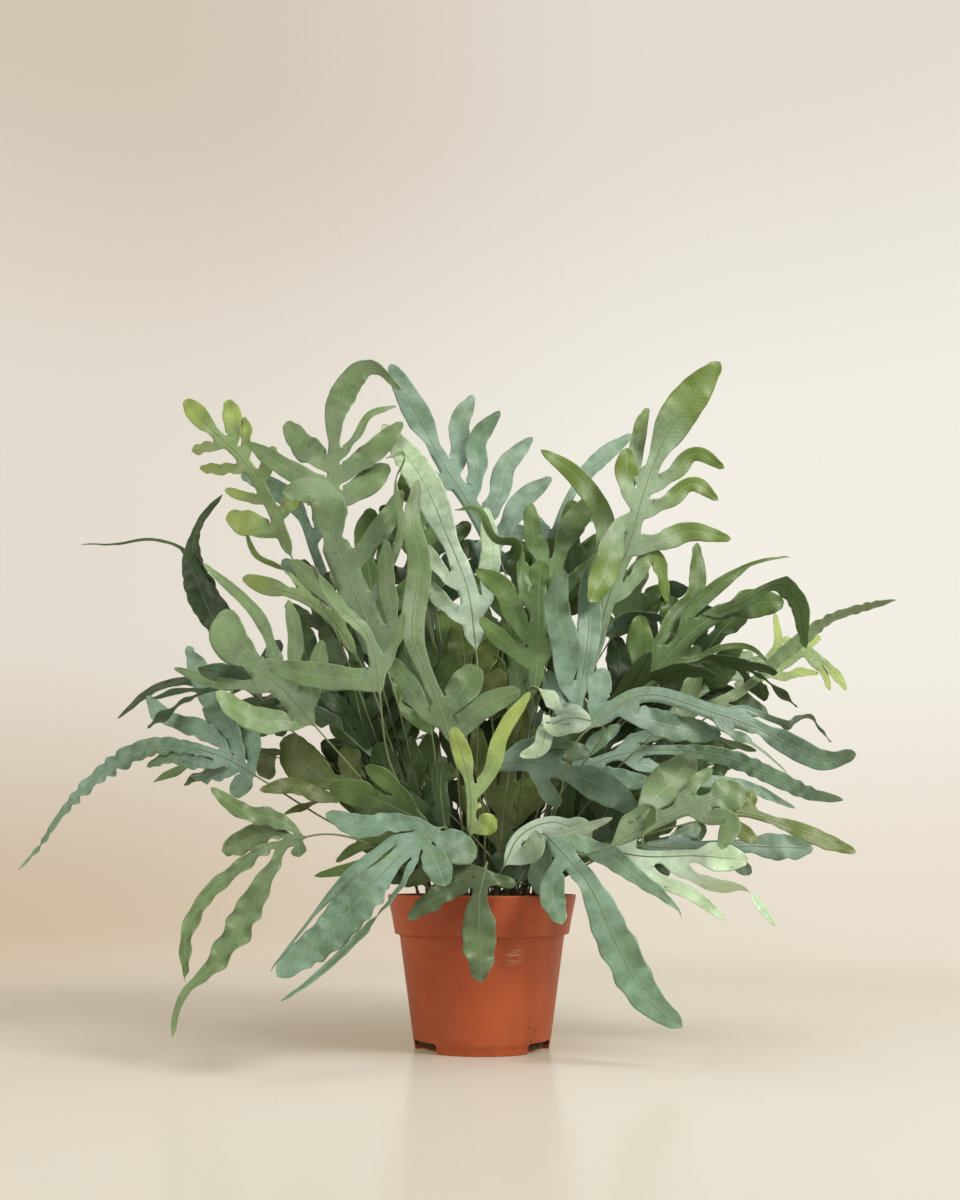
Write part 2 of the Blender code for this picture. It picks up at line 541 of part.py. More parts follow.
def side_of(path, station, tip):
    # 1 where a lobe lies to the left of the rachis in the picture, and -1 to its right.
    index = min(int(station), len(path) - 2)
    ahead = (path[index + 1][0] - path[index][0], path[index + 1][1] - path[index][1])
    t = station - index
    start = (path[index][0] + ahead[0] * t, path[index][1] + ahead[1] * t)
    out = (tip[0] - start[0], tip[1] - start[1])
    return 1 if ahead[0] * out[1] - ahead[1] * out[0] < 0 else -1


def face_normal(face, tilt):
    turn, up = math.radians(face[0]), math.radians(face[1] + tilt)
    return Vector((math.sin(turn) * math.cos(up), -math.cos(turn) * math.cos(up), math.sin(up)))


def front_skeleton(plan, root, push, tilt, sways, draw):
    # The frond as points in space: its stalk and rachis, and each lobe's course.
    base = at_depth(plan["path"][0], plan["depth"] + push)
    normal = face_normal(plan["face"], tilt)
    scale = picture_scale(base)
    blade = [on_blade(point, base, normal) for point in plan["path"]]
    lobes = []
    for item, sway in zip(plan["lobes"], sways):
        course = [on_blade(point, base, normal) for point in item["points"]]
        curl = draw.uniform(-LOBE_CURL, LOBE_CURL)
        reach = (course[-1] - blade[int(item["station"])]).length
        for i, spot in enumerate(course):
            share = (i + 1) / len(course)
            course[i] = spot + (spot - EYE).normalized() * (reach * (sway * share + curl * share ** 2))
        side = side_of(plan["path"], item["station"], item["points"][0])
        lobes.append((item["station"], side, item["width"] * scale, item["twist"], course))
    inner = [at_depth(point, (plan["depth"] + push) * STALK_DEPTH) for point in plan["stalk"]]
    return {"root": root, "stalk": list(reversed(inner)), "blade": blade, "width": plan["width"] * scale,
            "lobes": lobes, "twist": plan["twist"], "normal": normal, "seen": True, "tail": plan["tail"],
            "web": plan["web"] * scale}


def back_skeleton(plan, root, push, tilt, sways, draw):
    # A frond that rises, arches over and droops, with lobes set alternately along its rachis.
    angle, reach, height, share, _ = plan["rule"]
    turn = math.radians(angle + push / 4)
    out = Vector((math.cos(turn), math.sin(turn), 0.0))
    lift = height * MM * (1 + tilt / 60)
    middle = Vector((0.0, 0.0, soil_height(0.0)))
    ridge = [middle + out * (reach * MM * far) + UP * (lift * high)
             for far, high in ARCH]
    start = 1 if share < 0.6 else 0
    blade = ridge[start:]
    length = sum((b - a).length for a, b in zip(blade, blade[1:]))
    across = UP.cross(out)
    lobes = []
    for i, sway in enumerate(sways):
        along = 0.06 + 0.66 * i / (BACK_LOBES - 1)
        side = 1 if i % 2 else -1
        size = length * (0.46 - 0.22 * along) * draw.uniform(0.85, 1.15)
        station = along * (len(blade) - 1)
        index = int(station)
        foot = blade[index].lerp(blade[index + 1], station - index)
        ahead = (blade[index + 1] - blade[index]).normalized()
        aim = (ahead * draw.uniform(0.55, 0.85) + across * side).normalized()
        droop = draw.uniform(0.10, 0.35) + sway
        course = [foot + aim * (size * 0.5) - UP * (size * droop * 0.2), foot + aim * size - UP * (size * droop)]
        lobes.append((station, side, draw.uniform(0.021, 0.027), draw.uniform(-0.1, 0.1), course))
    normal = across.cross(blade[1] - blade[0]).normalized()
    normal = normal if normal.z > 0 else -normal
    return {"root": root, "stalk": ridge[:start], "blade": blade, "width": draw.uniform(0.024, 0.028),
            "lobes": lobes, "twist": 0.0, "normal": normal, "seen": False, "tail": False,
            "web": BACK_WEB}


def root_spots(plans):
    # Where the stalks rise from the soil: each on its frond's side of the crown, spread until none is too close.
    spots = []
    for plan in plans:
        if "rule" in plan:
            turn = math.radians(plan["rule"][0])
            spots.append([math.cos(turn) * ROOT_RING * BACK_CROWN, math.sin(turn) * ROOT_RING * BACK_CROWN])
        else:
            first = (plan["stalk"] or plan["path"])[0]
            aim = at_depth(first, plan["depth"])
            far = max(math.hypot(aim.x, aim.y), 0.001)
            ring = ROOT_RING * (1 - math.exp(-far / CROWN_REACH))
            spots.append([aim.x / far * ring, aim.y / far * ring])
    for _ in range(SPREAD_ROUNDS):
        for i, a in enumerate(spots):
            for b in spots[:i]:
                dx, dy = a[0] - b[0], a[1] - b[1]
                gap = max(math.hypot(dx, dy), 0.0001)
                if gap < ROOT_SPACING:
                    shift = (ROOT_SPACING - gap) / gap * 0.5
                    a[0] += dx * shift
                    a[1] += dy * shift
                    b[0] -= dx * shift
                    b[1] -= dy * shift
        for spot in spots:
            far = math.hypot(*spot)
            if far > ROOT_RING:
                spot[0] *= ROOT_RING / far
                spot[1] *= ROOT_RING / far
    return spots


def carried(path, places, across):
    # The across direction at each place, carried along the path without turning about it.
    frames = []
    heading = path.heading(places[0])
    across = (across - heading * across.dot(heading)).normalized()
    for s in places:
        ahead = path.heading(s)
        across = heading.rotation_difference(ahead) @ across
        across = (across - ahead * across.dot(ahead)).normalized()
        heading = ahead
        frames.append((path.at(s), ahead, across.copy()))
    return frames


def section(spot, ahead, across, roll, half, thick, seen):
    # The four corners of a cross-section: left and right on the upper face, then right and left on the lower.
    across = Quaternion(ahead, roll) @ across
    if seen:
        line = (spot - EYE).normalized()
        half = half / max((across - line * across.dot(line)).length, 0.6)
    normal = across.cross(ahead)
    return [spot + across * half + normal * thick, spot - across * half + normal * thick,
            spot - across * half - normal * thick, spot + across * half - normal * thick]


class Sheet:
    # Collects the corners and faces of one frond's closed skin.
    def __init__(self):
        self.vertices = []
        self.faces = []

    def add(self, corners):
        first = len(self.vertices)
        self.vertices.extend(corners)
        return list(range(first, first + len(corners)))

    def band(self, a, b, sides=(0, 1, 2, 3)):
        # Joins two sections of four corners; both faces of the blade are split the same way.
        for side in sides:
            c, d = a[side], a[(side + 1) % 4]
            e, f = b[side], b[(side + 1) % 4]
            if side == 2:
                self.faces += [(c, d, e), (d, f, e)]
            else:
                self.faces += [(c, d, f), (c, f, e)]

    def cap(self, a):
        self.faces += [(a[0], a[1], a[2]), (a[0], a[2], a[3])]


def lobe_roots(skeleton, rachis, start, stop):
    # The stretch of rachis that each lobe grows from, on its own side, with no two overlapping.
    roots = []
    for side in (1, -1):
        own = []
        for item in skeleton["lobes"]:
            if item[1] == side:
                own.append([rachis(item[0]), item])
        own.sort(key=lambda pair: pair[0])
        room = (stop - start - ROOT_GAP) / max(len(own), 1) - ROOT_GAP
        for i, pair in enumerate(own):
            half = min(pair[1][2] * ROOT_SHARE, room * 0.49, WIDEST_ROOT)
            low = (start if i == 0 else own[i - 1][2]) + half + ROOT_GAP
            pair[0] = max(pair[0], low)
            pair.append(pair[0] + half)
            pair.append(half)
        limit = stop
        for pair in reversed(own):
            half = pair[3]
            pair[0] = min(pair[0], limit - half - ROOT_GAP)
            limit = pair[0] - half
        roots += [(side, centre - half, centre + half, item) for centre, item, _, half in own]
    return roots


def strip_sections(path, low, shape, across, width, twist, seen, draw):
    # The sections of a lobe or of the terminal lobe, from its foot to its tip, with waved margins.
    places = [low + (path.length - low) * share for share, _ in shape]
    frames = carried(path, [low] + places, across)[1:]
    made = []
    flip = draw.choice((-1, 1))
    for i, ((share, swell), (spot, ahead, side)) in enumerate(zip(shape, frames)):
        wave = math.radians(draw.uniform(6, 15)) * flip * (-1) ** i
        roll = wave + twist * 2 * math.pi * share
        half = max(width / 2 * swell * draw.uniform(0.94, 1.06), TIP_HALF)
        made.append(section(spot, ahead, side, roll, half, BLADE_HALF, seen))
    return made


def clear_of_rachis(ring, foot, outward):
    # A lobe that leans along the rachis is narrowed on its inner margin, so that it keeps off the rachis.
    ring = list(ring)
    for a, b, c, d in ((0, 3, 1, 2), (1, 2, 0, 3)):
        short = RACHIS_GAP - (ring[a] - foot).dot(outward)
        across = ring[c] - ring[a]
        room = across.dot(outward)
        if short > 0 and room > across.length * 0.2:
            share = min(short / room, 0.8)
            ring[a] = ring[a].lerp(ring[c], share)
            ring[b] = ring[b].lerp(ring[d], share)
    return ring


def grow_lobe(sheet, corners, item, draw, seen):
    # corners are the root's four: near and far on the upper face, far and near on the lower, seen from the stalk.
    _, _, width, twist, course = item
    foot = (sheet.vertices[corners[0]] + sheet.vertices[corners[1]]
            + sheet.vertices[corners[2]] + sheet.vertices[corners[3]]) / 4
    along = sheet.vertices[corners[1]] - sheet.vertices[corners[0]]
    upward = sheet.vertices[corners[0]] - sheet.vertices[corners[3]]
    outward = along.cross(upward).normalized()
    aim = course[0] - foot
    if outward.dot(aim) < 0:
        outward = -outward
    guide = foot + (outward * 0.8 + aim.normalized() * 0.6) * min(width * 0.5, aim.length * 0.3)
    path = Path([foot, guide] + course)
    shape = BACK_SHAPE if not seen else LONG_SHAPE if path.length > LONG_LOBE else SHORT_SHAPE
    across = path.heading(0.0).cross(upward).normalized()
    if across.dot(along) > 0:
        across = -across
    before = corners
    for ring in strip_sections(path, 0.0, shape, across, width, twist, seen, draw):
        ring = clear_of_rachis(ring, foot, outward)
        if (ring[0] - ring[3]).dot(upward) < 0:
            ring = [ring[3], ring[2], ring[1], ring[0]]
        after = sheet.add(ring)
        sheet.band(before, after)
        upward = ring[0] - ring[3]
        before = after
    sheet.cap(before)


def grow_frond(skeleton, draw):
    root = skeleton["root"]
    ground = soil_height(math.hypot(*root))
    below = Vector((root[0], root[1], ground - HOLE_DEPTH + STALK_EMBED))
    above = Vector((root[0], root[1], ground + STALK_STRAIGHT))
    first = (skeleton["stalk"] + skeleton["blade"])[0]
    rise = above.lerp(first, 0.45)
    rise.z += (first - above).length * STALK_LIFT
    points = [below, above, rise] + skeleton["stalk"] + skeleton["blade"]
    base_mark = 3 + len(skeleton["stalk"])
    path = Path(points, base_mark)
    base = path.reach[path.marks[base_mark]]
    last = max([item[0] for item in skeleton["lobes"]] + [0.2]) + 0.25
    last = min(last, len(skeleton["blade"]) - 1.5)
    end = path.station(base_mark + last)
    seen = skeleton["seen"]
    across = skeleton["normal"].cross(skeleton["blade"][1] - skeleton["blade"][0]).normalized()
    stalk_places = [path.reach[path.marks[i]] for i in range(base_mark + 1)]
    stalk_places = turning_places(path, bent_places(path, stalk_places, [], STALK_BEND))[::-1]
    sheet = Sheet()
    rings = []
    for i, (spot, ahead, side) in enumerate(carried(path, stalk_places, across)):
        thick = STALK_HALF if i else BLADE_HALF * 2
        half = STALK_HALF if i else WING_HALF
        rings.append(sheet.add(section(spot, ahead, side, 0.0, half, thick, False)))
    for a, b in zip(rings, rings[1:]):
        sheet.band(b, a)
    sheet.faces += [(rings[-1][0], rings[-1][2], rings[-1][1]), (rings[-1][0], rings[-1][3], rings[-1][2])]
    roots = lobe_roots(skeleton, lambda value: path.station(base_mark + value), base, end)
    margins = {}
    for side, column in ((1, 0), (-1, 1)):
        own = [(low, high) for s, low, high, _ in roots if s == side]
        places = sorted({end, *[p for pair in own for p in pair]})
        places = bent_places(path, [base] + places, own, RACHIS_BEND)[1:]
        chain = [(base, rings[0][column], rings[0][3 - column])]
        for s, (spot, ahead, out) in zip(places, carried(path, [base] + places, across)[1:]):
            opening = min((s - base) / WEB_OPENING, 1.0)
            half = WING_HALF + (skeleton["web"] - WING_HALF) * opening
            corners = section(spot, ahead, out, 0.0, half, BLADE_HALF, seen)
            ids = sheet.add([corners[column], corners[3 - column]])
            chain.append((s, ids[0], ids[1]))
        margins[side] = chain
    zip_faces(sheet, margins[1], margins[-1])
    for side in (1, -1):
        chain = margins[side]
        for a, b in zip(chain, chain[1:]):
            owner = [item for s, low, high, item in roots if s == side and abs(low - a[0]) < 1e-9]
            corners = [a[1], b[1], b[2], a[2]]
            if owner:
                grow_lobe(sheet, corners, owner[0], draw, seen)
            else:
                sheet.faces += [(corners[0], corners[1], corners[2]), (corners[0], corners[2], corners[3])]
    (_, lt, lb), (_, rt, rb) = margins[1][-1], margins[-1][-1]
    before = [lt, rt, rb, lb]
    shape = TAIL_SHAPE if skeleton["tail"] else TERMINAL_SHAPE
    for ring in strip_sections(path, end, shape, out, skeleton["width"], skeleton["twist"], seen, draw):
        after = sheet.add(ring)
        sheet.band(before, after)
        before = after
    sheet.cap(before)
    return sheet


def bent_places(path, places, roots, step):
    # Adds places where the path bends between two of them, but none within a lobe's root.
    done = []
    for a, b in zip(places, places[1:]):
        done.append(a)
        bulge = (path.at((a + b) / 2) - (path.at(a) + path.at(b)) / 2).length
        if (a, b) not in roots and bulge > step:
            count = math.ceil(math.sqrt(bulge / step))
            done += [a + (b - a) * i / count for i in range(1, count)]
    return done + [places[-1]]


def turning_places(path, places):
    # Adds places where a stalk turns sharply, close together in the turn.
    done = [places[0]]
    for b in places[1:]:
        pending = [b]
        while pending:
            a, b = done[-1], pending[-1]
            if path.heading(a).dot(path.heading(b)) < SHARP_TURN and b - a > CLOSEST_RINGS:
                pending.append((a + b) / 2)
            else:
                done.append(pending.pop())
    return done


def zip_faces(sheet, left, right):
    # Fills the rachis between its two margins, alike above and below.
    i = j = 0
    while i < len(left) - 1 or j < len(right) - 1:
        go_left = j == len(right) - 1 or (i < len(left) - 1 and left[i + 1][0] <= right[j + 1][0])
        a, b = left[i], right[j]
        if go_left:
            c = left[i + 1]
            i += 1
        else:
            c = right[j + 1]
            j += 1
        sheet.faces += [(a[1], b[1], c[1]), (a[2], c[2], b[2])]


def frond_skin(plan, root, push, tilt, sways):
    draw = random.Random(plan["name"])
    make = back_skeleton if "rule" in plan else front_skeleton
    return grow_frond(make(plan, root, push, tilt, sways, draw), draw)


def tree_of(sheet):
    return BVHTree.FromPolygons(sheet.vertices, sheet.faces, all_triangles=True, epsilon=CLEARANCE)


def box_of(sheet):
    axes = list(zip(*sheet.vertices))
    return [min(a) for a in axes], [max(a) for a in axes]


def boxes_meet(a, b):
    return all(a[0][k] <= b[1][k] + CLEARANCE and b[0][k] <= a[1][k] + CLEARANCE for k in range(3))


def self_crossings(sheet):
    tree = BVHTree.FromPolygons(sheet.vertices, sheet.faces, all_triangles=True)
    faces = sheet.faces
    return sum(1 for a, b in tree.overlap(tree) if a < b and not set(faces[a]) & set(faces[b]))


def strikes_pot(sheet, root, pot_tree):
    # A blade may lean over the rim, but not pass into the pot, the soil or the ground under it.
    low = 0
    for v in sheet.vertices:
        radius = math.hypot(v.x, v.y)
        in_soil = radius < RIM_RADIUS - RIM_MARGIN and v.z < soil_height(radius) + SOIL_MARGIN
        if v.z < GROUND_MARGIN or (in_soil and math.hypot(v.x - root[0], v.y - root[1]) > HOLE_RADIUS):
            low += 1
    return len(tree_of(sheet).overlap(pot_tree)) + low


def part_lobes(plan, root, push, tilt, sways):
    # Sways the lobes of one frond forwards or back until none of them crosses another or the rachis.
    sways = list(sways)
    least = self_crossings(frond_skin(plan, root, push, tilt, sways))
    for _ in range(ROUNDS):
        for k in range(len(sways)):
            if least == 0:
                return sways
            kept = sways[k]
            best = (least, kept)
            for sway in SWAYS:
                sways[k] = sway
                found = self_crossings(frond_skin(plan, root, push, tilt, sways))
                if found < best[0]:
                    best = (found, sway)
            least, sways[k] = best
    return sways


def settle(plans, pot_tree):
    # Bends the fronds clear of each other. Each slides along its line of sight, so that its place in the picture
    # stays, or leans a little, until it crosses as few others as it can.
    spots = root_spots(plans)
    state = []
    for plan, spot in zip(plans, spots):
        count = BACK_LOBES if "rule" in plan else len(plan["lobes"])
        state.append((0, 0, part_lobes(plan, spot, 0, 0, [0.0] * count)))
    sheets = [frond_skin(plan, spot, *own) for plan, spot, own in zip(plans, spots, state)]
    trees = [tree_of(sheet) for sheet in sheets]
    boxes = [box_of(sheet) for sheet in sheets]

    def crossings(i, tree, box):
        return sum(len(tree.overlap(trees[j])) for j in range(len(plans)) if j != i and boxes_meet(box, boxes[j]))

    def tried(i, move):
        sheet = frond_skin(plans[i], spots[i], *move)
        tree, box = tree_of(sheet), box_of(sheet)
        faces = crossings(i, tree, box) + 2 * self_crossings(sheet) + 2 * strikes_pot(sheet, spots[i], pot_tree)
        return faces + (abs(move[0]) + abs(move[1])) * 0.01, faces, move, sheet, tree, box

    def swayed(i, best):
        for k in range(len(best[2][2])):
            for sway in SWAYS:
                if best[1] == 0:
                    return best
                push, tilt, sways = best[2]
                move = (push, tilt, sways[:k] + [sway] + sways[k + 1:])
                best = min(best, tried(i, move), key=lambda found: found[0])
        return best

    for _ in range(SWEEPS):
        faults = [crossings(i, trees[i], boxes[i]) + self_crossings(sheets[i])
                  + strikes_pot(sheets[i], spots[i], pot_tree) for i in range(len(plans))]
        order = sorted((i for i in range(len(plans)) if faults[i]), key=lambda i: -faults[i])
        if not order:
            break
        for i in order:
            push, tilt, sways = state[i]
            found = [tried(i, state[i])]
            for move in [(push + p, tilt + t, sways) for p in PUSHES for t in TILTS]:
                if found[-1][1] == 0:
                    break
                found.append(tried(i, move))
            found = sorted(found, key=lambda item: item[0])[:CHOICES]
            if found[0][1]:
                found = sorted([swayed(i, item) for item in found], key=lambda item: item[0])
            _, _, state[i], sheets[i], trees[i], boxes[i] = found[0]
    return spots, sheets


def evaluated_tree(item):
    depsgraph = bpy.context.evaluated_depsgraph_get()
    return BVHTree.FromObject(item.evaluated_get(depsgraph), depsgraph, epsilon=CLEARANCE)


def add_frond(plan, sheet, parts):
    made = add_object(plan["name"], sheet.vertices, [], sheet.faces, parts,
                      material("frond_" + plan["leaf"], LEAF_COLOURS[plan["leaf"]], 0.6))
    skin = bmesh.new()
    skin.from_mesh(made.data)
    bmesh.ops.recalc_face_normals(skin, faces=skin.faces)
    skin.to_mesh(made.data)
    skin.free()
    return made


def back_plans():
    return [{"name": f"frond_back_{i + 1:02d}", "leaf": rule[4], "rule": rule}
            for i, rule in enumerate(BACK_FRONDS)]


def build_soil(parts, cutters, spots):
    soil = turned("soil", soil_profile(), POT_STEPS, parts, material("potting_soil", (0.035, 0.022, 0.014), 0.95))
    skin = bmesh.new()
    for x, y in spots:
        top = soil_height(math.hypot(x, y)) + HOLE_RISE
        middle = Matrix.Translation((x, y, top - (HOLE_DEPTH + HOLE_RISE) / 2))
        bmesh.ops.create_cone(skin, cap_ends=True, segments=HOLE_SIDES, radius1=HOLE_RADIUS, radius2=HOLE_RADIUS,
                              depth=HOLE_DEPTH + HOLE_RISE, matrix=middle)
    mesh = bpy.data.meshes.new("stalk_holes")
    skin.to_mesh(mesh)
    skin.free()
    holes = hidden(bpy.data.objects.new("stalk_holes", mesh))
    cutters.objects.link(holes)
    cut(soil, holes)
    return soil


def main():
    clear_scene()
    parts = new_collection("potted_blue_star_fern")
    cutters = new_collection("cutters")
    pot = build_pot(parts, cutters)
    plans = FRONT_FRONDS + back_plans()
    spots, sheets = settle(plans, evaluated_tree(pot))
    build_soil(parts, cutters, spots)
    for plan, sheet in zip(plans, sheets):
        add_frond(plan, sheet, parts)


main()
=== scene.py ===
# A potted blue star fern: the looks of its wavy lobed fronds, its nursery pot and its soil.
# Metres, +Z up. The frame holds the plain solids, and each frond here follows its own solid.
import math
import random

import bmesh
import bpy
import numpy as np
from mathutils import Matrix, Quaternion, Vector, noise
from mathutils.bvhtree import BVHTree


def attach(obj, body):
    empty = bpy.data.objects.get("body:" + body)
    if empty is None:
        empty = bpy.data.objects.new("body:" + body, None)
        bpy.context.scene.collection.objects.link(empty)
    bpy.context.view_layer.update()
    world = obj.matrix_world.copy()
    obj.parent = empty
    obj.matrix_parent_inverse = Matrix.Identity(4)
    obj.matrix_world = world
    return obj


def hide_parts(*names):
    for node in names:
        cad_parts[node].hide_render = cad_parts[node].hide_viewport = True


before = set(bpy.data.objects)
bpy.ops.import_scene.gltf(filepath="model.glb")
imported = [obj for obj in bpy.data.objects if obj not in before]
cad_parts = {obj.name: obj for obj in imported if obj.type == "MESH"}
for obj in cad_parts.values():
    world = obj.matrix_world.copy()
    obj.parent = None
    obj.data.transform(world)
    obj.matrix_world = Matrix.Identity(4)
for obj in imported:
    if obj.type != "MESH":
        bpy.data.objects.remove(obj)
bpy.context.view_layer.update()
print("frame loaded")

mm = 0.001
up = Vector((0.0, 0.0, 1.0))

# The camera, which is also the eye that the front fronds are laid out for
camera = {
    "place": Vector((-0.0020, -1.2200, 0.1655)),
    "tilt": math.radians(13.24),
    "lens": 35.0,
    "sensor": 36.0,
    "picture": (960.0, 1200.0),
}
focus = camera["lens"] / camera["sensor"] * camera["picture"][1]
ahead = Vector((0.0, math.cos(camera["tilt"]), math.sin(camera["tilt"])))
above = Vector((0.0, -math.sin(camera["tilt"]), math.cos(camera["tilt"])))
eye = camera["place"]


def lobe(station, width, *points, twist=0.0):
    # A lobe leaves the rachis at a station, counted in the rachis's points, and runs on to its tip.
    return {"station": station, "width": width, "points": points, "twist": twist}


def frond(name, leaf, depth, face, width, path, lobes, stalk=(), twist=0.0, tail=False, web=4.5):
    # face is where the blade looks, in degrees to the right of the front and up. A tail is a long thin tip.
    # The web is how far the blade reaches to either side of the rachis between two lobes.
    return {"name": name, "leaf": leaf, "depth": depth, "face": face, "width": width, "path": path,
            "lobes": lobes, "stalk": stalk, "twist": twist, "tail": tail, "web": web}


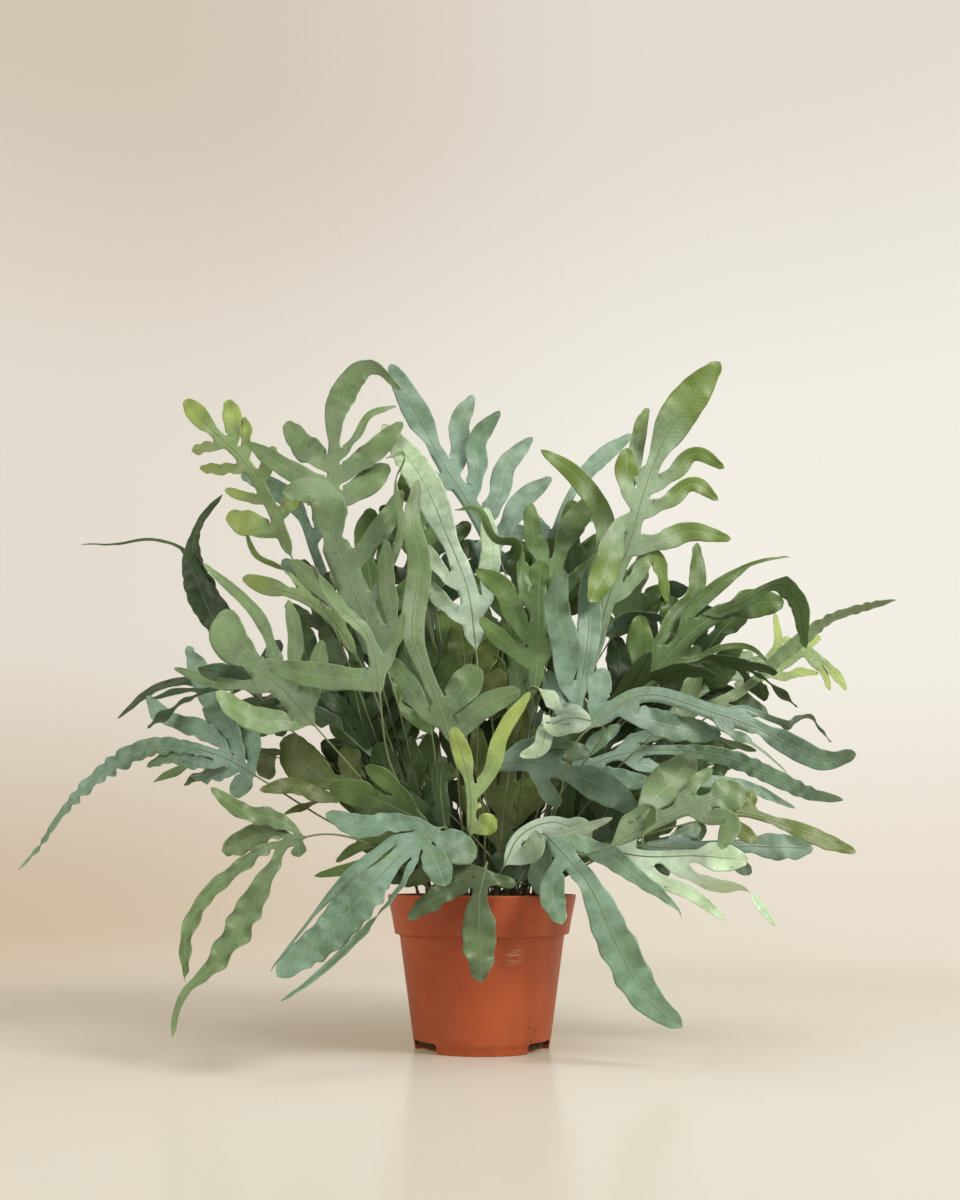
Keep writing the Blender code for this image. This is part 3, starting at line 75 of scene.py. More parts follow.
# Points are picture coordinates, and depths are millimetres behind the pot's axis.
# A point's third number moves it off the plane of its blade, in millimetres away from the eye.
frontFronds = [
    frond("frond_top_left_lime", "lime", 30, (-20, 20), 23,
          [(291, 556), (268, 500), (240, 456), (212, 430), (185, 400)],
          [lobe(0.5, 27, (228, 513)), lobe(1.1, 12, (225, 489)), lobe(1.8, 16, (200, 467)),
           lobe(2.6, 18, (193, 447)), lobe(0.7, 17, (298, 495)), lobe(1.45, 17, (272, 446)),
           lobe(2.0, 14, (243, 417)), lobe(2.45, 21, (227, 400))],
          stalk=[(314, 590)], web=6),
    frond("frond_top_arch", "green", 30, (-8, 12), 30,
          [(336, 545), (334, 500), (334, 450), (339, 404), (364, 370), (401, 390, -25)],
          [lobe(1.0, 26, (388, 464)), lobe(1.3, 22, (249, 443)), lobe(1.5, 24, (402, 422)),
           lobe(1.75, 29, (286, 422)), lobe(1.9, 9, (370, 415), (396, 406))], tail=True, web=6),
    frond("frond_dark_back_left", "blue", 120, (-15, 20), 22,
          [(335, 610), (315, 552), (297, 508), (268, 485), (241, 475)],
          [lobe(0.6, 20, (282, 560)), lobe(1.3, 20, (318, 500))], web=5),
    frond("frond_blue_top_centre", "blue", 40, (12, 22), 28,
          [(500, 560), (475, 512), (445, 466), (415, 410), (391, 364)],
          [lobe(0.4, 23, (516, 508), (551, 477)), lobe(0.9, 23, (504, 470), (532, 437)),
           lobe(1.4, 22, (477, 442), (500, 411)), lobe(1.95, 23, (459, 427), (473, 395)),
           lobe(1.7, 20, (402, 462))], web=8),
    frond("frond_blue_upper_right", "blue", 70, (20, 18), 19,
          [(545, 600), (558, 525), (577, 485), (602, 457), (632, 434)],
          [lobe(0.8, 18, (520, 500)), lobe(1.5, 15, (596, 520))]),
    frond("frond_grey_upper_left", "grey", -35, (-12, 15), 38,
          [(384, 662), (362, 610), (335, 545), (314, 492), (283, 494, -20)],
          [lobe(0.4, 19, (387, 590), (386, 539)), lobe(1.7, 24, (402, 490)),
           lobe(1.1, 9, (401, 530), (396, 478), (404, 455), (386, 458), twist=0.4),
           lobe(1.2, 22, (292, 560))], twist=0.1, web=15),
    frond("frond_grey_left_level", "grey", -62, (-10, 12), 17,
          [(380, 695), (378, 672), (368, 636), (342, 608), (311, 565)],
          [lobe(0.7, 28, (320, 676), (268, 666)), lobe(1.2, 12, (404, 612))],
          stalk=[(389, 760)], twist=0.3, web=7),
    frond("frond_lime_left", "lime", 5, (-15, 20), 21,
          [(356, 655), (331, 617), (300, 596), (270, 587), (243, 577)],
          [lobe(2.0, 8, (257, 556), (245, 530), twist=0.6), lobe(0.9, 16, (340, 590))], web=6),
    frond("frond_grey_left_large", "grey", -55, (-15, 12), 40,
          [(315, 726), (286, 692), (252, 662), (227, 634), (226, 609)],
          [lobe(0.35, 26, (252, 718), (216, 692)), lobe(1.5, 13, (174, 668)),
           lobe(0.55, 20, (322, 640)), lobe(1.15, 18, (288, 600)),
           lobe(1.6, 14, (262, 622, 25), (203, 563, 40))],
          stalk=[(362, 780)], web=11),
    frond("frond_dark_far_left", "dark", 60, (-12, 14), 31,
          [(262, 700), (235, 660), (216, 624), (201, 590), (192, 556), (200, 523), (222, 495)],
          [lobe(0.5, 9, (187, 681), (158, 687), (118, 718)), lobe(0.4, 20, (280, 640)),
           lobe(1.1, 18, (200, 584), (180, 554), (152, 545), (118, 548), (81, 545), twist=0.08)],
          tail=True, web=7),
    frond("frond_long_left", "blue", 0, (-18, 12), 21,
          [(256, 776), (233, 762), (192, 748), (147, 748), (101, 774), (60, 816), (37, 850), (19, 869)],
          [lobe(0.75, 20, (193, 775), twist=0.2), lobe(1.2, 16, (172, 757), (147, 766)),
           lobe(0.3, 20, (233, 797)),
           lobe(0.2, 24, (236, 704)), lobe(0.6, 28, (213, 700), (187, 646)),
           lobe(1.2, 25, (166, 720), (147, 696))],
          stalk=[(318, 815)], twist=0.04, tail=True),
    frond("frond_hanging_left", "green", -90, (8, 10), 27,
          [(306, 837), (288, 842), (274, 864), (256, 896), (238, 929), (211, 968), (182, 997), (172, 1036)],
          [lobe(0.2, 18, (245, 812), (211, 788)), lobe(0.85, 27, (255, 838), (222, 851)),
           lobe(1.3, 15, (238, 868), (205, 898), (187, 934), (186, 982)),
           lobe(0.6, 14, (299, 857))],
          stalk=[(345, 836)], twist=0.04, tail=True),
    frond("frond_big_lower_left", "blue", -105, (5, 22), 37,
          [(440, 828), (415, 842), (382, 874), (353, 906), (327, 936), (300, 957), (277, 976)],
          [lobe(0.25, 32, (476, 858)), lobe(0.8, 28, (445, 886)),
           lobe(1.1, 8, (378, 915), (332, 962), (305, 985), (282, 1001), twist=0.6),
           lobe(0.5, 27, (368, 828), (326, 813)), lobe(1.0, 17, (337, 894), (308, 932), (271, 972))], web=8),
    frond("frond_low_left_green", "green", -70, (-12, 18), 27,
          [(432, 828), (404, 812), (366, 796), (329, 787)],
          [lobe(0.35, 15, (372, 862, 15), (315, 876)), lobe(0.9, 13, (352, 850, 25), (336, 862, 30)),
           lobe(1.2, 18, (366, 766))], web=8),
    frond("frond_olive_left", "olive", -25, (-18, 15), 40,
          [(372, 790), (340, 785), (308, 768), (284, 737)],
          [lobe(0.5, 18, (300, 786), (260, 790)),
           lobe(0.25, 9, (311, 803), (292, 812), (271, 828), twist=0.5),
           lobe(0.9, 24, (345, 745))], web=8),
    frond("frond_front_tongue", "blue", -112, (3, 6), 34,
          [(486, 866), (480, 892), (479, 935), (481, 982)],
          [lobe(0.75, 19, (440, 895), (408, 919)), lobe(0.3, 20, (430, 872), (403, 886)),
           lobe(0.4, 13, (516, 884))], web=7),
    frond("frond_front_lime", "lime", -92, (0, 15), 19,
          [(470, 836), (471, 800), (467, 772), (459, 745), (453, 727)],
          [lobe(0.15, 24, (497, 821)), lobe(1.35, 17, (500, 738), (530, 692)), lobe(0.9, 8, (480, 803))]),
    frond("frond_front_grey", "grey", -78, (-5, 22), 26,
          [(452, 745), (438, 702), (429, 680), (414, 640), (419, 560), (412, 520), (418, 480)],
          [lobe(0.7, 22, (403, 676), (372, 652)), lobe(0.95, 34, (475, 665)),
           lobe(0.35, 25, (482, 708), (520, 690))], twist=0.1, web=7),
    frond("frond_silver_centre", "silver", -38, (-8, 18), 34,
          [(476, 650), (468, 590), (447, 535), (424, 482), (383, 424)],
          [lobe(0.7, 22, (486, 507)), lobe(0.6, 17, (430, 582)), lobe(1.2, 16, (426, 545))], web=10),
    frond("frond_olive_centre", "olive", -12, (0, 20), 37,
          [(492, 722), (486, 680), (478, 640), (471, 607)],
          [lobe(0.3, 24, (530, 660)), lobe(0.5, 22, (448, 648))], web=12),
    frond("frond_green_upper", "green", 15, (8, 20), 27,
          [(558, 650), (556, 600), (558, 562), (576, 520), (600, 493)],
          [lobe(1.8, 22, (531, 503)), lobe(1.4, 18, (612, 548)), lobe(0.8, 20, (520, 560))], web=7),
    frond("frond_green_upright", "green", -58, (5, 15), 27,
          [(566, 735), (580, 690), (589, 630), (588, 567)],
          [lobe(0.5, 12, (592, 672), (606, 625)),
           lobe(0.9, 30, (566, 650, -10), (556, 604, -24), (564, 570, -28)),
           lobe(0.45, 20, (548, 670))], web=6),
    frond("frond_green_centre", "green", 0, (-5, 22), 24,
          [(533, 696), (538, 650), (538, 606), (541, 560)],
          [lobe(1.3, 25, (504, 590), (476, 570)), lobe(0.8, 18, (480, 618)), lobe(1.0, 20, (566, 600)),
           lobe(2.1, 10, (520, 545), (497, 540), (475, 508), (455, 510), twist=0.6)], web=8),
    frond("frond_lime_top_right", "lime", -35, (12, 12), 36,
          [(597, 640), (613, 585), (630, 542), (641, 502), (653, 466), (679, 414), (720, 362)],
          [lobe(3.7, 25, (642, 440), (648, 408)), lobe(2.95, 25, (627, 448)),
           lobe(2.5, 33, (614, 552, -25), (590, 602, -45)),
           lobe(1.3, 22, (605, 525, 20), (575, 475, 30), (541, 450, 30)),
           lobe(3.6, 18, (694, 454), (724, 468)), lobe(2.9, 18, (692, 484), (718, 500)),
           lobe(2.0, 22, (687, 532), (731, 539)), lobe(0.9, 17, (650, 556), (668, 602))], web=7),
    frond("frond_grey_right_long", "grey", -35, (15, 15), 17,
          [(648, 742), (695, 712), (746, 687), (777, 659), (806, 636), (834, 617), (862, 608), (897, 600)],
          [lobe(0.8, 20, (700, 672)), lobe(1.4, 18, (752, 716))], twist=0.25),
    frond("frond_right_middle", "green", 5, (15, 18), 30,
          [(640, 692), (672, 652), (705, 622), (740, 606), (784, 602)],
          [lobe(0.6, 21, (694, 596), (697, 543)), lobe(1.6, 23, (732, 582), (790, 558)),
           lobe(0.9, 7, (720, 648), (751, 648), (770, 664)), lobe(0.3, 26, (640, 615)),
           lobe(2.3, 23, (772, 580), (795, 597), (806, 648))], web=8),
    frond("frond_right_star", "lime", 70, (25, 20), 11,
          [(728, 702), (760, 678), (786, 664), (812, 654), (830, 668), (846, 690)],
          [lobe(2.9, 12, (820, 636)), lobe(2.5, 12, (786, 636)), lobe(1.4, 10, (776, 650), (775, 612)),
           lobe(1.5, 11, (800, 672), (818, 673)), lobe(2.8, 9, (820, 668), (830, 690))]),
    frond("frond_right_small", "grey", 30, (20, 20), 19,
          [(662, 722), (700, 692), (732, 676), (766, 660)],
          [lobe(1.5, 12, (724, 656)), lobe(2.3, 15, (752, 652)), lobe(2.2, 14, (738, 693)),
           lobe(0.6, 22, (668, 668))]),
    frond("frond_right_dark", "dark", -8, (10, 18), 26,
          [(628, 716), (676, 697), (720, 697), (768, 714)],
          [lobe(0.4, 24, (640, 660)), lobe(0.7, 22, (690, 735))], web=8),
    frond("frond_right_wavy_upper", "blue", -62, (8, 14), 24,
          [(590, 728), (640, 695), (713, 712), (755, 727), (792, 746), (822, 760), (856, 754)],
          [lobe(0.7, 28, (690, 730, 12), (721, 734, 20)),
           lobe(2.6, 12, (785, 725), (806, 716), (831, 742), twist=0.4),
           lobe(2.3, 12, (752, 742)), lobe(0.3, 26, (604, 668, 15))], twist=0.12, web=8),
    frond("frond_right_wavy_lower", "blue", -45, (10, 14), 19,
          [(565, 778), (610, 757), (676, 750), (735, 760), (776, 778), (811, 794), (843, 800)],
          [lobe(1.3, 20, (696, 732), (742, 745), (788, 775, 8)), lobe(1.3, 13, (745, 786), (795, 808)),
           lobe(0.6, 20, (650, 782)), lobe(0.4, 18, (620, 725))], twist=0.15, web=5),
    frond("frond_right_broad", "grey", -95, (5, 18), 35,
          [(610, 846), (640, 829), (682, 810), (714, 799), (745, 790)],
          [lobe(0.6, 18, (644, 812), (646, 846, -6)), lobe(2.6, 20, (726, 818), (722, 849)),
           lobe(1.1, 44, (676, 776, 10), (694, 754, 12)), lobe(2.2, 14, (712, 768, 8))], web=7),
    frond("frond_right_olive", "olive", -50, (12, 15), 17,
          [(694, 822), (735, 812), (786, 825), (826, 841), (856, 852)],
          [lobe(0.8, 16, (758, 842)), lobe(1.3, 13, (752, 790))]),
    frond("frond_right_pale_green", "silver", -95, (-4, 14), 27,
          [(590, 846), (640, 856), (700, 856), (748, 860)],
          [lobe(1.6, 14, (720, 886), (746, 890), (762, 908), (775, 926), twist=0.45),
           lobe(1.0, 15, (690, 893), (726, 920)), lobe(0.7, 18, (640, 812, 10))], web=6),
    frond("frond_right_back_wavy", "blue", -30, (15, 15), 28,
          [(640, 846), (690, 848), (752, 846), (813, 848)],
          [lobe(0.8, 18, (700, 826)), lobe(1.6, 16, (752, 872, 20))], web=7),
    frond("frond_hanging_right", "blue", -104, (-6, 8), 37,
          [(548, 836), (566, 856), (586, 880), (599, 903), (610, 930), (625, 960), (647, 998), (682, 1027)],
          [lobe(0.45, 34, (611, 866), (645, 893), (681, 918)),
           lobe(0.4, 26, (538, 895, -8)), lobe(1.1, 24, (552, 890, 4), (562, 924, 2))], web=9),
    frond("frond_blue_band", "blue", -80, (5, 16), 32,
          [(486, 766), (525, 762), (566, 772), (604, 788), (639, 812)],
          [lobe(0.8, 26, (572, 742)), lobe(1.6, 20, (590, 752, 10)), lobe(1.4, 18, (560, 806, 12))], web=9),
    frond("frond_front_fold", "silver", -96, (4, 14), 27,
          [(504, 866), (520, 836), (552, 822), (592, 838)],
          [lobe(0.35, 30, (528, 848, -12), (536, 830, -16)), lobe(2.0, 14, (586, 853)),
           lobe(1.7, 11, (612, 818))], web=6),
    frond("frond_pale_fold", "silver", -82, (6, 14), 17,
          [(596, 722), (572, 718), (548, 728), (540, 748), (520, 756)],
          [lobe(0.6, 16, (560, 712), (545, 690), (528, 688), twist=0.2),
           lobe(0.9, 14, (552, 728, -6), (545, 712, -8))]),
    frond("frond_dark_centre", "dark", -66, (-5, 15), 33,
          [(446, 832), (442, 806), (440, 780), (444, 762)],
          [lobe(1.6, 15, (430, 768), (412, 768)), lobe(0.7, 20, (404, 792, 10))], web=8),
    frond("frond_low_dark_left", "dark", -38, (-10, 20), 28,
          [(436, 858), (410, 822), (390, 782), (378, 742)],
          [lobe(0.3, 24, (356, 842)), lobe(1.1, 22, (340, 778)), lobe(0.6, 22, (432, 776)),
           lobe(1.4, 18, (410, 736))], web=8),
    frond("frond_low_dark_right", "dark", -34, (10, 20), 28,
          [(556, 858), (586, 820), (612, 780), (636, 742)],
          [lobe(0.3, 24, (640, 842)), lobe(1.1, 22, (664, 786)), lobe(0.6, 22, (570, 768)),
           lobe(1.4, 18, (604, 728))], web=8),
    frond("frond_low_olive_middle", "olive", -20, (0, 22), 27,
          [(500, 858), (504, 806), (512, 756), (524, 706)],
          [lobe(0.5, 22, (462, 786)), lobe(1.1, 22, (476, 726)), lobe(0.8, 22, (552, 778)),
           lobe(1.3, 18, (562, 728))], web=8),
]

# The fronds of the sides and the back grow by rule: (compass angle, reach, height, blade share, leaf).
# The compass angle is in degrees from +X towards the back, lengths are in millimetres.
backFronds = [
    (8, 360, 210, 0.62, "green"), (24, 300, 330, 0.58, "blue"), (38, 390, 190, 0.62, "grey"),
    (52, 250, 400, 0.56, "green"), (64, 350, 250, 0.60, "blue"), (78, 400, 150, 0.62, "dark"),
    (90, 240, 430, 0.56, "blue"), (101, 340, 290, 0.60, "green"), (114, 400, 180, 0.62, "grey"),
    (127, 260, 390, 0.56, "dark"), (140, 360, 240, 0.60, "blue"), (154, 390, 160, 0.62, "green"),
    (168, 320, 300, 0.58, "grey"), (184, 350, 190, 0.60, "blue"), (357, 330, 245, 0.60, "dark"),
]

pot = {
    "rimRadius": 0.0950, "height": 0.1460, "collarRadius": 0.0885, "collarBottom": 0.1140,
    "stepZ": 0.1070, "bodyRadius": 0.0828, "footRadius": 0.0662, "footStepZ": 0.0090,
    "wall": 0.0018, "floor": 0.0030, "turns": 160, "ridgeZ": 0.1190, "ridge": 0.0002,
    "notches": 3, "notchHalfWidth": 0.0225, "notchHeight": 0.0095,
}
soil = {
    "edgeZ": 0.1340, "mound": 0.0060, "holeDepth": 0.0130, "embed": 0.0008, "straight": 0.0040,
    "sideGap": 0.0005, "grain": 0.0016, "turns": 96, "rings": 30,
    "crumbs": 95000.0, "crumbSmall": 0.0006, "crumbLarge": 0.0019,
}
leaf = {
    "stalk": 0.00120,      # half of a stalk's thickness at the soil
    "rachis": 0.00085,     # and where the blade begins
    "ribTip": 0.00008,     # and near the tip of the blade
    "wing": 0.0026,        # half the width of the blade where it begins
    "backWeb": 0.0055,     # half its width between the lobes of a frond at the back
    "webOpening": 0.0200,  # how far along it reaches its full width there
    "thick": 0.00050,
    "tipHalf": 0.0006,     # half the width that a blade keeps at its tip
    "rootShare": 0.56,     # how much of a lobe's width its root takes up on the rachis
    "widestRoot": 0.0130,
    "rootGap": 0.0012,     # between two roots
    "rachisGap": 0.0016,   # between a lobe's margin and the rachis
    "step": 0.0022,        # length of one row of faces along a blade
    "ruffle": 0.070,       # height of the waves at the margins, as a share of the half width
    "wave": 0.019,         # and their length
    "gather": 0.032,       # how far they draw the margin in
    "roll": (6, 15),       # degrees by which a blade rolls to one side and the other
    "cup": 0.10,
    "ribSink": 0.00035,    # how deep the midrib lies, and how wide its furrow is
    "ribFurrow": 0.0012,
    "backLobes": 6,
    "webStep": 0.0018,     # length of one row of faces along the rachis
    "opening": 0.0100,     # how soon the blade has opened from the stalk
    "flare": 0.0014,       # how much wider it is at the root of a lobe
    "flareFade": 0.0026,
    "stalkStep": 0.0060,
    "stalkSides": 8,
}
# How crisped some fronds' margins are, where the others have 1
crisped = {
    "frond_long_left": 4.5, "frond_hanging_left": 6.0, "frond_big_lower_left": 1.8, "frond_front_tongue": 3.6,
    "frond_right_wavy_upper": 2.6, "frond_right_wavy_lower": 2.8, "frond_right_back_wavy": 2.6,
    "frond_hanging_right": 3.4, "frond_grey_right_long": 1.2, "frond_right_olive": 1.4,
    "frond_dark_far_left": 2.0, "frond_blue_band": 1.8, "frond_lime_top_right": 0.5, "frond_top_arch": 0.7,
    "frond_blue_top_centre": 0.5, "frond_top_left_lime": 0.7,
}
# Fronds with another finish than their kind's, and how light some are, where the others have 1. How light a
# frond is stands partly for its own tone and partly for painted light, shade and sheen.
painted = {
    "frond_lime_top_right": "spring", "frond_front_tongue": "grey", "frond_top_arch": "grey",
    "frond_hanging_left": "grey", "frond_green_upright": "blue",
}
lightnessAndPaintedLight = {
    "frond_grey_upper_left": 0.80, "frond_silver_centre": 1.15, "frond_grey_left_large": 1.30,
    "frond_long_left": 1.25, "frond_hanging_left": 1.15, "frond_front_tongue": 0.72,
    "frond_hanging_right": 1.15, "frond_right_pale_green": 1.45, "frond_right_wavy_lower": 1.15,
    "frond_grey_right_long": 1.15, "frond_right_olive": 1.40, "frond_front_fold": 0.70,
    "frond_top_arch": 1.10, "frond_front_grey": 0.95, "frond_dark_far_left": 0.90,
    "frond_lime_left": 0.95, "frond_green_upright": 1.05,
}


def outerRadius(z):
    return pot["footRadius"] + (pot["bodyRadius"] - pot["footRadius"]) * z / pot["stepZ"]


def innerRadius(z):
    bends = [(outerRadius(pot["footStepZ"]) - pot["wall"], pot["floor"] + 0.004),
             (pot["bodyRadius"] - pot["wall"], pot["stepZ"] + 0.0015),
             (pot["collarRadius"] - pot["wall"], pot["collarBottom"]),
             (pot["rimRadius"] - pot["wall"], pot["height"])]
    for (r0, z0), (r1, z1) in zip(bends, bends[1:]):
        if z <= z1:
            return r0 + (r1 - r0) * (z - z0) / (z1 - z0)
    return bends[-1][0]


def soilHeight(radius):
    return soil["edgeZ"] + soil["mound"] * (1 - (radius / innerRadius(soil["edgeZ"])) ** 2)


terminalShape = ((0.12, 0.54), (0.36, 0.96), (0.68, 0.92), (0.92, 0.50), (1.0, 0.0))
tailShape = ((0.12, 0.60), (0.34, 1.0), (0.56, 0.76), (0.74, 0.32), (0.90, 0.22), (1.0, 0.0))
backShape = ((0.28, 0.90), (0.72, 0.90), (1.0, 0.0))
shortShape = ((0.25, 0.86), (0.58, 1.0), (0.87, 0.62), (1.0, 0.0))
longShape = ((0.16, 0.78), (0.36, 1.0), (0.56, 0.90), (0.76, 0.80), (0.92, 0.45), (1.0, 0.0))
longCourse = 0.085


def between(a, b, out, back, t):
    # The cubic from a to b that leaves a along out and reaches b along back.
    return (a * (2 * t ** 3 - 3 * t ** 2 + 1) + out * (t ** 3 - 2 * t ** 2 + t)
            + b * (3 * t ** 2 - 2 * t ** 3) + back * (t ** 3 - t ** 2))


class Course:
    # A smooth curve through points, measured along its length. At point number lead it heads for the next.
    def __init__(self, points, lead=None, steps=8):
        self.points = [points[0].copy()]
        self.marks = [0]
        padded = [points[0] * 2 - points[1]] + list(points) + [points[-1] * 2 - points[-2]]
        for i, (before, a, b, after) in enumerate(zip(padded, padded[1:], padded[2:], padded[3:])):
            span = (b - a).length
            out = ((b - a).normalized() if i == lead else self.slope(before, a, b)) * span
            back = ((after - b).normalized() if i + 1 == lead else self.slope(a, b, after)) * span
            self.points += [between(a, b, out, back, k / steps) for k in range(1, steps + 1)]
            self.marks.append(len(self.points) - 1)
        self.reach = [0.0]
        for a, b in zip(self.points, self.points[1:]):
            self.reach.append(self.reach[-1] + (b - a).length)
        self.length = self.reach[-1]
        self.turn = self.reach[self.marks[lead]] if lead is not None else -1.0

    @staticmethod
    def slope(a, b, c):
        first, second = (b - a), (c - b)
        return (first.normalized() * second.length + second.normalized() * first.length).normalized()

    def at(self, s):
        s = min(max(s, 0.0), self.length)
        low, high = 0, len(self.reach) - 1
        while high - low > 1:
            middle = (low + high) // 2
            low, high = (middle, high) if self.reach[middle] <= s else (low, middle)
        span = self.reach[high] - self.reach[low]
        return self.points[low].lerp(self.points[high], (s - self.reach[low]) / span if span > 0 else 0.0)

    def heading(self, s):
        low, high = s - self.length * 0.01, s + self.length * 0.01
        if s >= self.turn:
            low = max(low, self.turn)
        else:
            high = min(high, self.turn)
        return (self.at(high) - self.at(low)).normalized()

    def station(self, value):
        index = min(int(value), len(self.marks) - 2)
        low, high = self.reach[self.marks[index]], self.reach[self.marks[index + 1]]
        return low + (high - low) * (value - index)


def sight(x, y):
    wide, tall = camera["picture"]
    return (ahead * focus + Vector((x - wide / 2, 0.0, 0.0)) + above * (tall / 2 - y)).normalized()


def atDepth(point, depth):
    line = sight(*point[:2])
    return eye + line * ((depth * mm - eye.y) / line.y)


def onBlade(point, base, normal):
    line = sight(*point[:2])
    spot = eye + line * ((base - eye).dot(normal) / line.dot(normal))
    return spot + line * (point[2] * mm if len(point) > 2 else 0.0)


def sideOf(path, station, tip):
    index = min(int(station), len(path) - 2)
    on = (path[index + 1][0] - path[index][0], path[index + 1][1] - path[index][1])
    t = station - index
    out = (tip[0] - path[index][0] - on[0] * t, tip[1] - path[index][1] - on[1] * t)
    return 1 if on[0] * out[1] - on[1] * out[0] < 0 else -1


def frontSkeleton(plan, push, tilt, sways, draw):
    base = atDepth(plan["path"][0], plan["depth"] + push)
    turn, rise = math.radians(plan["face"][0]), math.radians(plan["face"][1] + tilt)
    normal = Vector((math.sin(turn) * math.cos(rise), -math.cos(turn) * math.cos(rise), math.sin(rise)))
    scale = (base - eye).dot(ahead) / focus
    blade = [onBlade(point, base, normal) for point in plan["path"]]
    lobes = []
    for item, sway in zip(plan["lobes"], sways):
        course = [onBlade(point, base, normal) for point in item["points"]]
        curl = draw.uniform(-0.14, 0.14)
        reach = (course[-1] - blade[int(item["station"])]).length
        for i, spot in enumerate(course):
            share = (i + 1) / len(course)
            course[i] = spot + (spot - eye).normalized() * (reach * (sway * share + curl * share ** 2))
        side = sideOf(plan["path"], item["station"], item["points"][0])
        lobes.append((item["station"], side, item["width"] * scale, item["twist"], course))
    inner = [atDepth(point, (plan["depth"] + push) * 0.75) for point in plan["stalk"]]
    return {"stalk": list(reversed(inner)), "blade": blade, "width": plan["width"] * scale,
            "lobes": lobes, "twist": plan["twist"], "normal": normal, "seen": True, "tail": plan["tail"],
            "web": plan["web"] * scale}


def backSkeleton(plan, push, tilt, sways, draw):
    angle, reach, height, share, _ = plan["rule"]
    turn = math.radians(angle + push / 4)
    out = Vector((math.cos(turn), math.sin(turn), 0.0))
    lift = height * mm * (1 + tilt / 60)
    middle = Vector((0.0, 0.0, soilHeight(0.0)))
    ridge = [middle + out * (reach * mm * far) + up * (lift * high)
             for far, high in ((0.30, 0.62), (0.48, 0.86), (0.66, 0.99), (0.84, 0.97), (1.0, 0.80))]
    start = 1 if share < 0.6 else 0
    blade = ridge[start:]
    length = sum((b - a).length for a, b in zip(blade, blade[1:]))
    across = up.cross(out)
    lobes = []
    for i, sway in enumerate(sways):
        along = 0.06 + 0.66 * i / (leaf["backLobes"] - 1)
        side = 1 if i % 2 else -1
        size = length * (0.46 - 0.22 * along) * draw.uniform(0.85, 1.15)
        station = along * (len(blade) - 1)
        index = int(station)
        foot = blade[index].lerp(blade[index + 1], station - index)
        on = (blade[index + 1] - blade[index]).normalized()
        aim = (on * draw.uniform(0.55, 0.85) + across * side).normalized()
        droop = draw.uniform(0.10, 0.35) + sway
        course = [foot + aim * (size * 0.5) - up * (size * droop * 0.2),
                  foot + aim * size - up * (size * droop)]
        lobes.append((station, side, draw.uniform(0.021, 0.027), draw.uniform(-0.1, 0.1), course))
    normal = across.cross(blade[1] - blade[0]).normalized()
    normal = normal if normal.z > 0 else -normal
    return {"stalk": ridge[:start], "blade": blade, "width": draw.uniform(0.024, 0.028),
            "lobes": lobes, "twist": 0.0, "normal": normal, "seen": False, "tail": False,
            "web": leaf["backWeb"]}


def carried(path, places, across):
    # The across direction at each place, carried along the path without turning about it.
    frames = []
    heading = path.heading(places[0])
    across = (across - heading * across.dot(heading)).normalized()
    for s in places:
        on = path.heading(s)
        across = heading.rotation_difference(on) @ across
        across = (across - on * across.dot(on)).normalized()
        heading = on
        frames.append((path.at(s), on, across.copy()))
    return frames


def rolled(spot, on, across, roll, half, seen):
    # The across direction after its roll, and the half width that shows the asked width to the eye.
    across = Quaternion(on, roll) @ across
    if seen:
        line = (spot - eye).normalized()
        half = half / max((across - line * across.dot(line)).length, 0.6)
    return across, half


def solidOf(node):
    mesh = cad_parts[node].data
    points = [v.co.copy() for v in mesh.vertices]
    return points, BVHTree.FromPolygons(points, [tuple(p.vertices) for p in mesh.polygons])


def strayed(tree, points):
    return sum(tree.find_nearest(point)[3] for point in points)


# Where a frond's course is looked for. A push is millimetres in depth, or quarter degrees at the back.
fit = {
    "pushes": range(-80, 81, 2), "tilts": range(-36, 37, 9), "tries": 8,
    "sways": (0.0, 0.12, -0.12, 0.24, -0.24, 0.36, -0.36, 0.5, -0.5, 0.65, -0.65),
    "soilReach": 0.076, "buried": 0.006,
}


def settled(plan):
    # A frond's place in the soil, and its course as it best runs inside its solid.
    points, tree = solidOf(plan["name"])
    buried = [p for p in points if math.hypot(p.x, p.y) < fit["soilReach"]
              and p.z < soilHeight(math.hypot(p.x, p.y)) - fit["buried"]]
    root = sum(buried, Vector()) / len(buried)
    make = backSkeleton if "rule" in plan else frontSkeleton
    count = leaf["backLobes"] if "rule" in plan else len(plan["lobes"])
    still = [0.0] * count

    def shape(push, tilt, sways):
        return make(plan, push, tilt, sways, random.Random(plan["name"]))

    def swayOf(push, tilt, k):
        # How far the course of lobe k strays from the solid, and how far it then sways.
        return min((strayed(tree, shape(push, tilt, still[:k] + [sway] + still[k + 1:])["lobes"][k][4]), sway)
                   for sway in fit["sways"])

    moves = [(push, tilt) for push in fit["pushes"] for tilt in fit["tilts"]]
    moves.sort(key=lambda move: strayed(tree, shape(*move, still)["blade"][1:]))
    fits = []
    for push, tilt in moves[:fit["tries"]]:
        lobes = [swayOf(push, tilt, k) for k in range(count)]
        off = strayed(tree, shape(push, tilt, still)["blade"][1:]) + sum(item[0] for item in lobes)
        fits.append((off, push, tilt, [item[1] for item in lobes]))
    _, push, tilt, sways = min(fits)
    draw = random.Random(plan["name"])
    return root, make(plan, push, tilt, sways, draw), draw


def eased(knots, t):
    # A smooth value through knots of (place, value).
    i = next((k for k in range(1, len(knots)) if t <= knots[k][0]), len(knots) - 1)
    (t0, a), (t1, b) = knots[i - 1], knots[i]
    before = knots[max(i - 2, 0)]
    after = knots[min(i + 1, len(knots) - 1)]
    span = t1 - t0
    slopeIn = (b - before[1]) / (t1 - before[0]) * span
    slopeOut = (after[1] - a) / (after[0] - t0) * span
    return between(a, b, slopeIn, slopeOut, min(max((t - t0) / span, 0.0), 1.0))


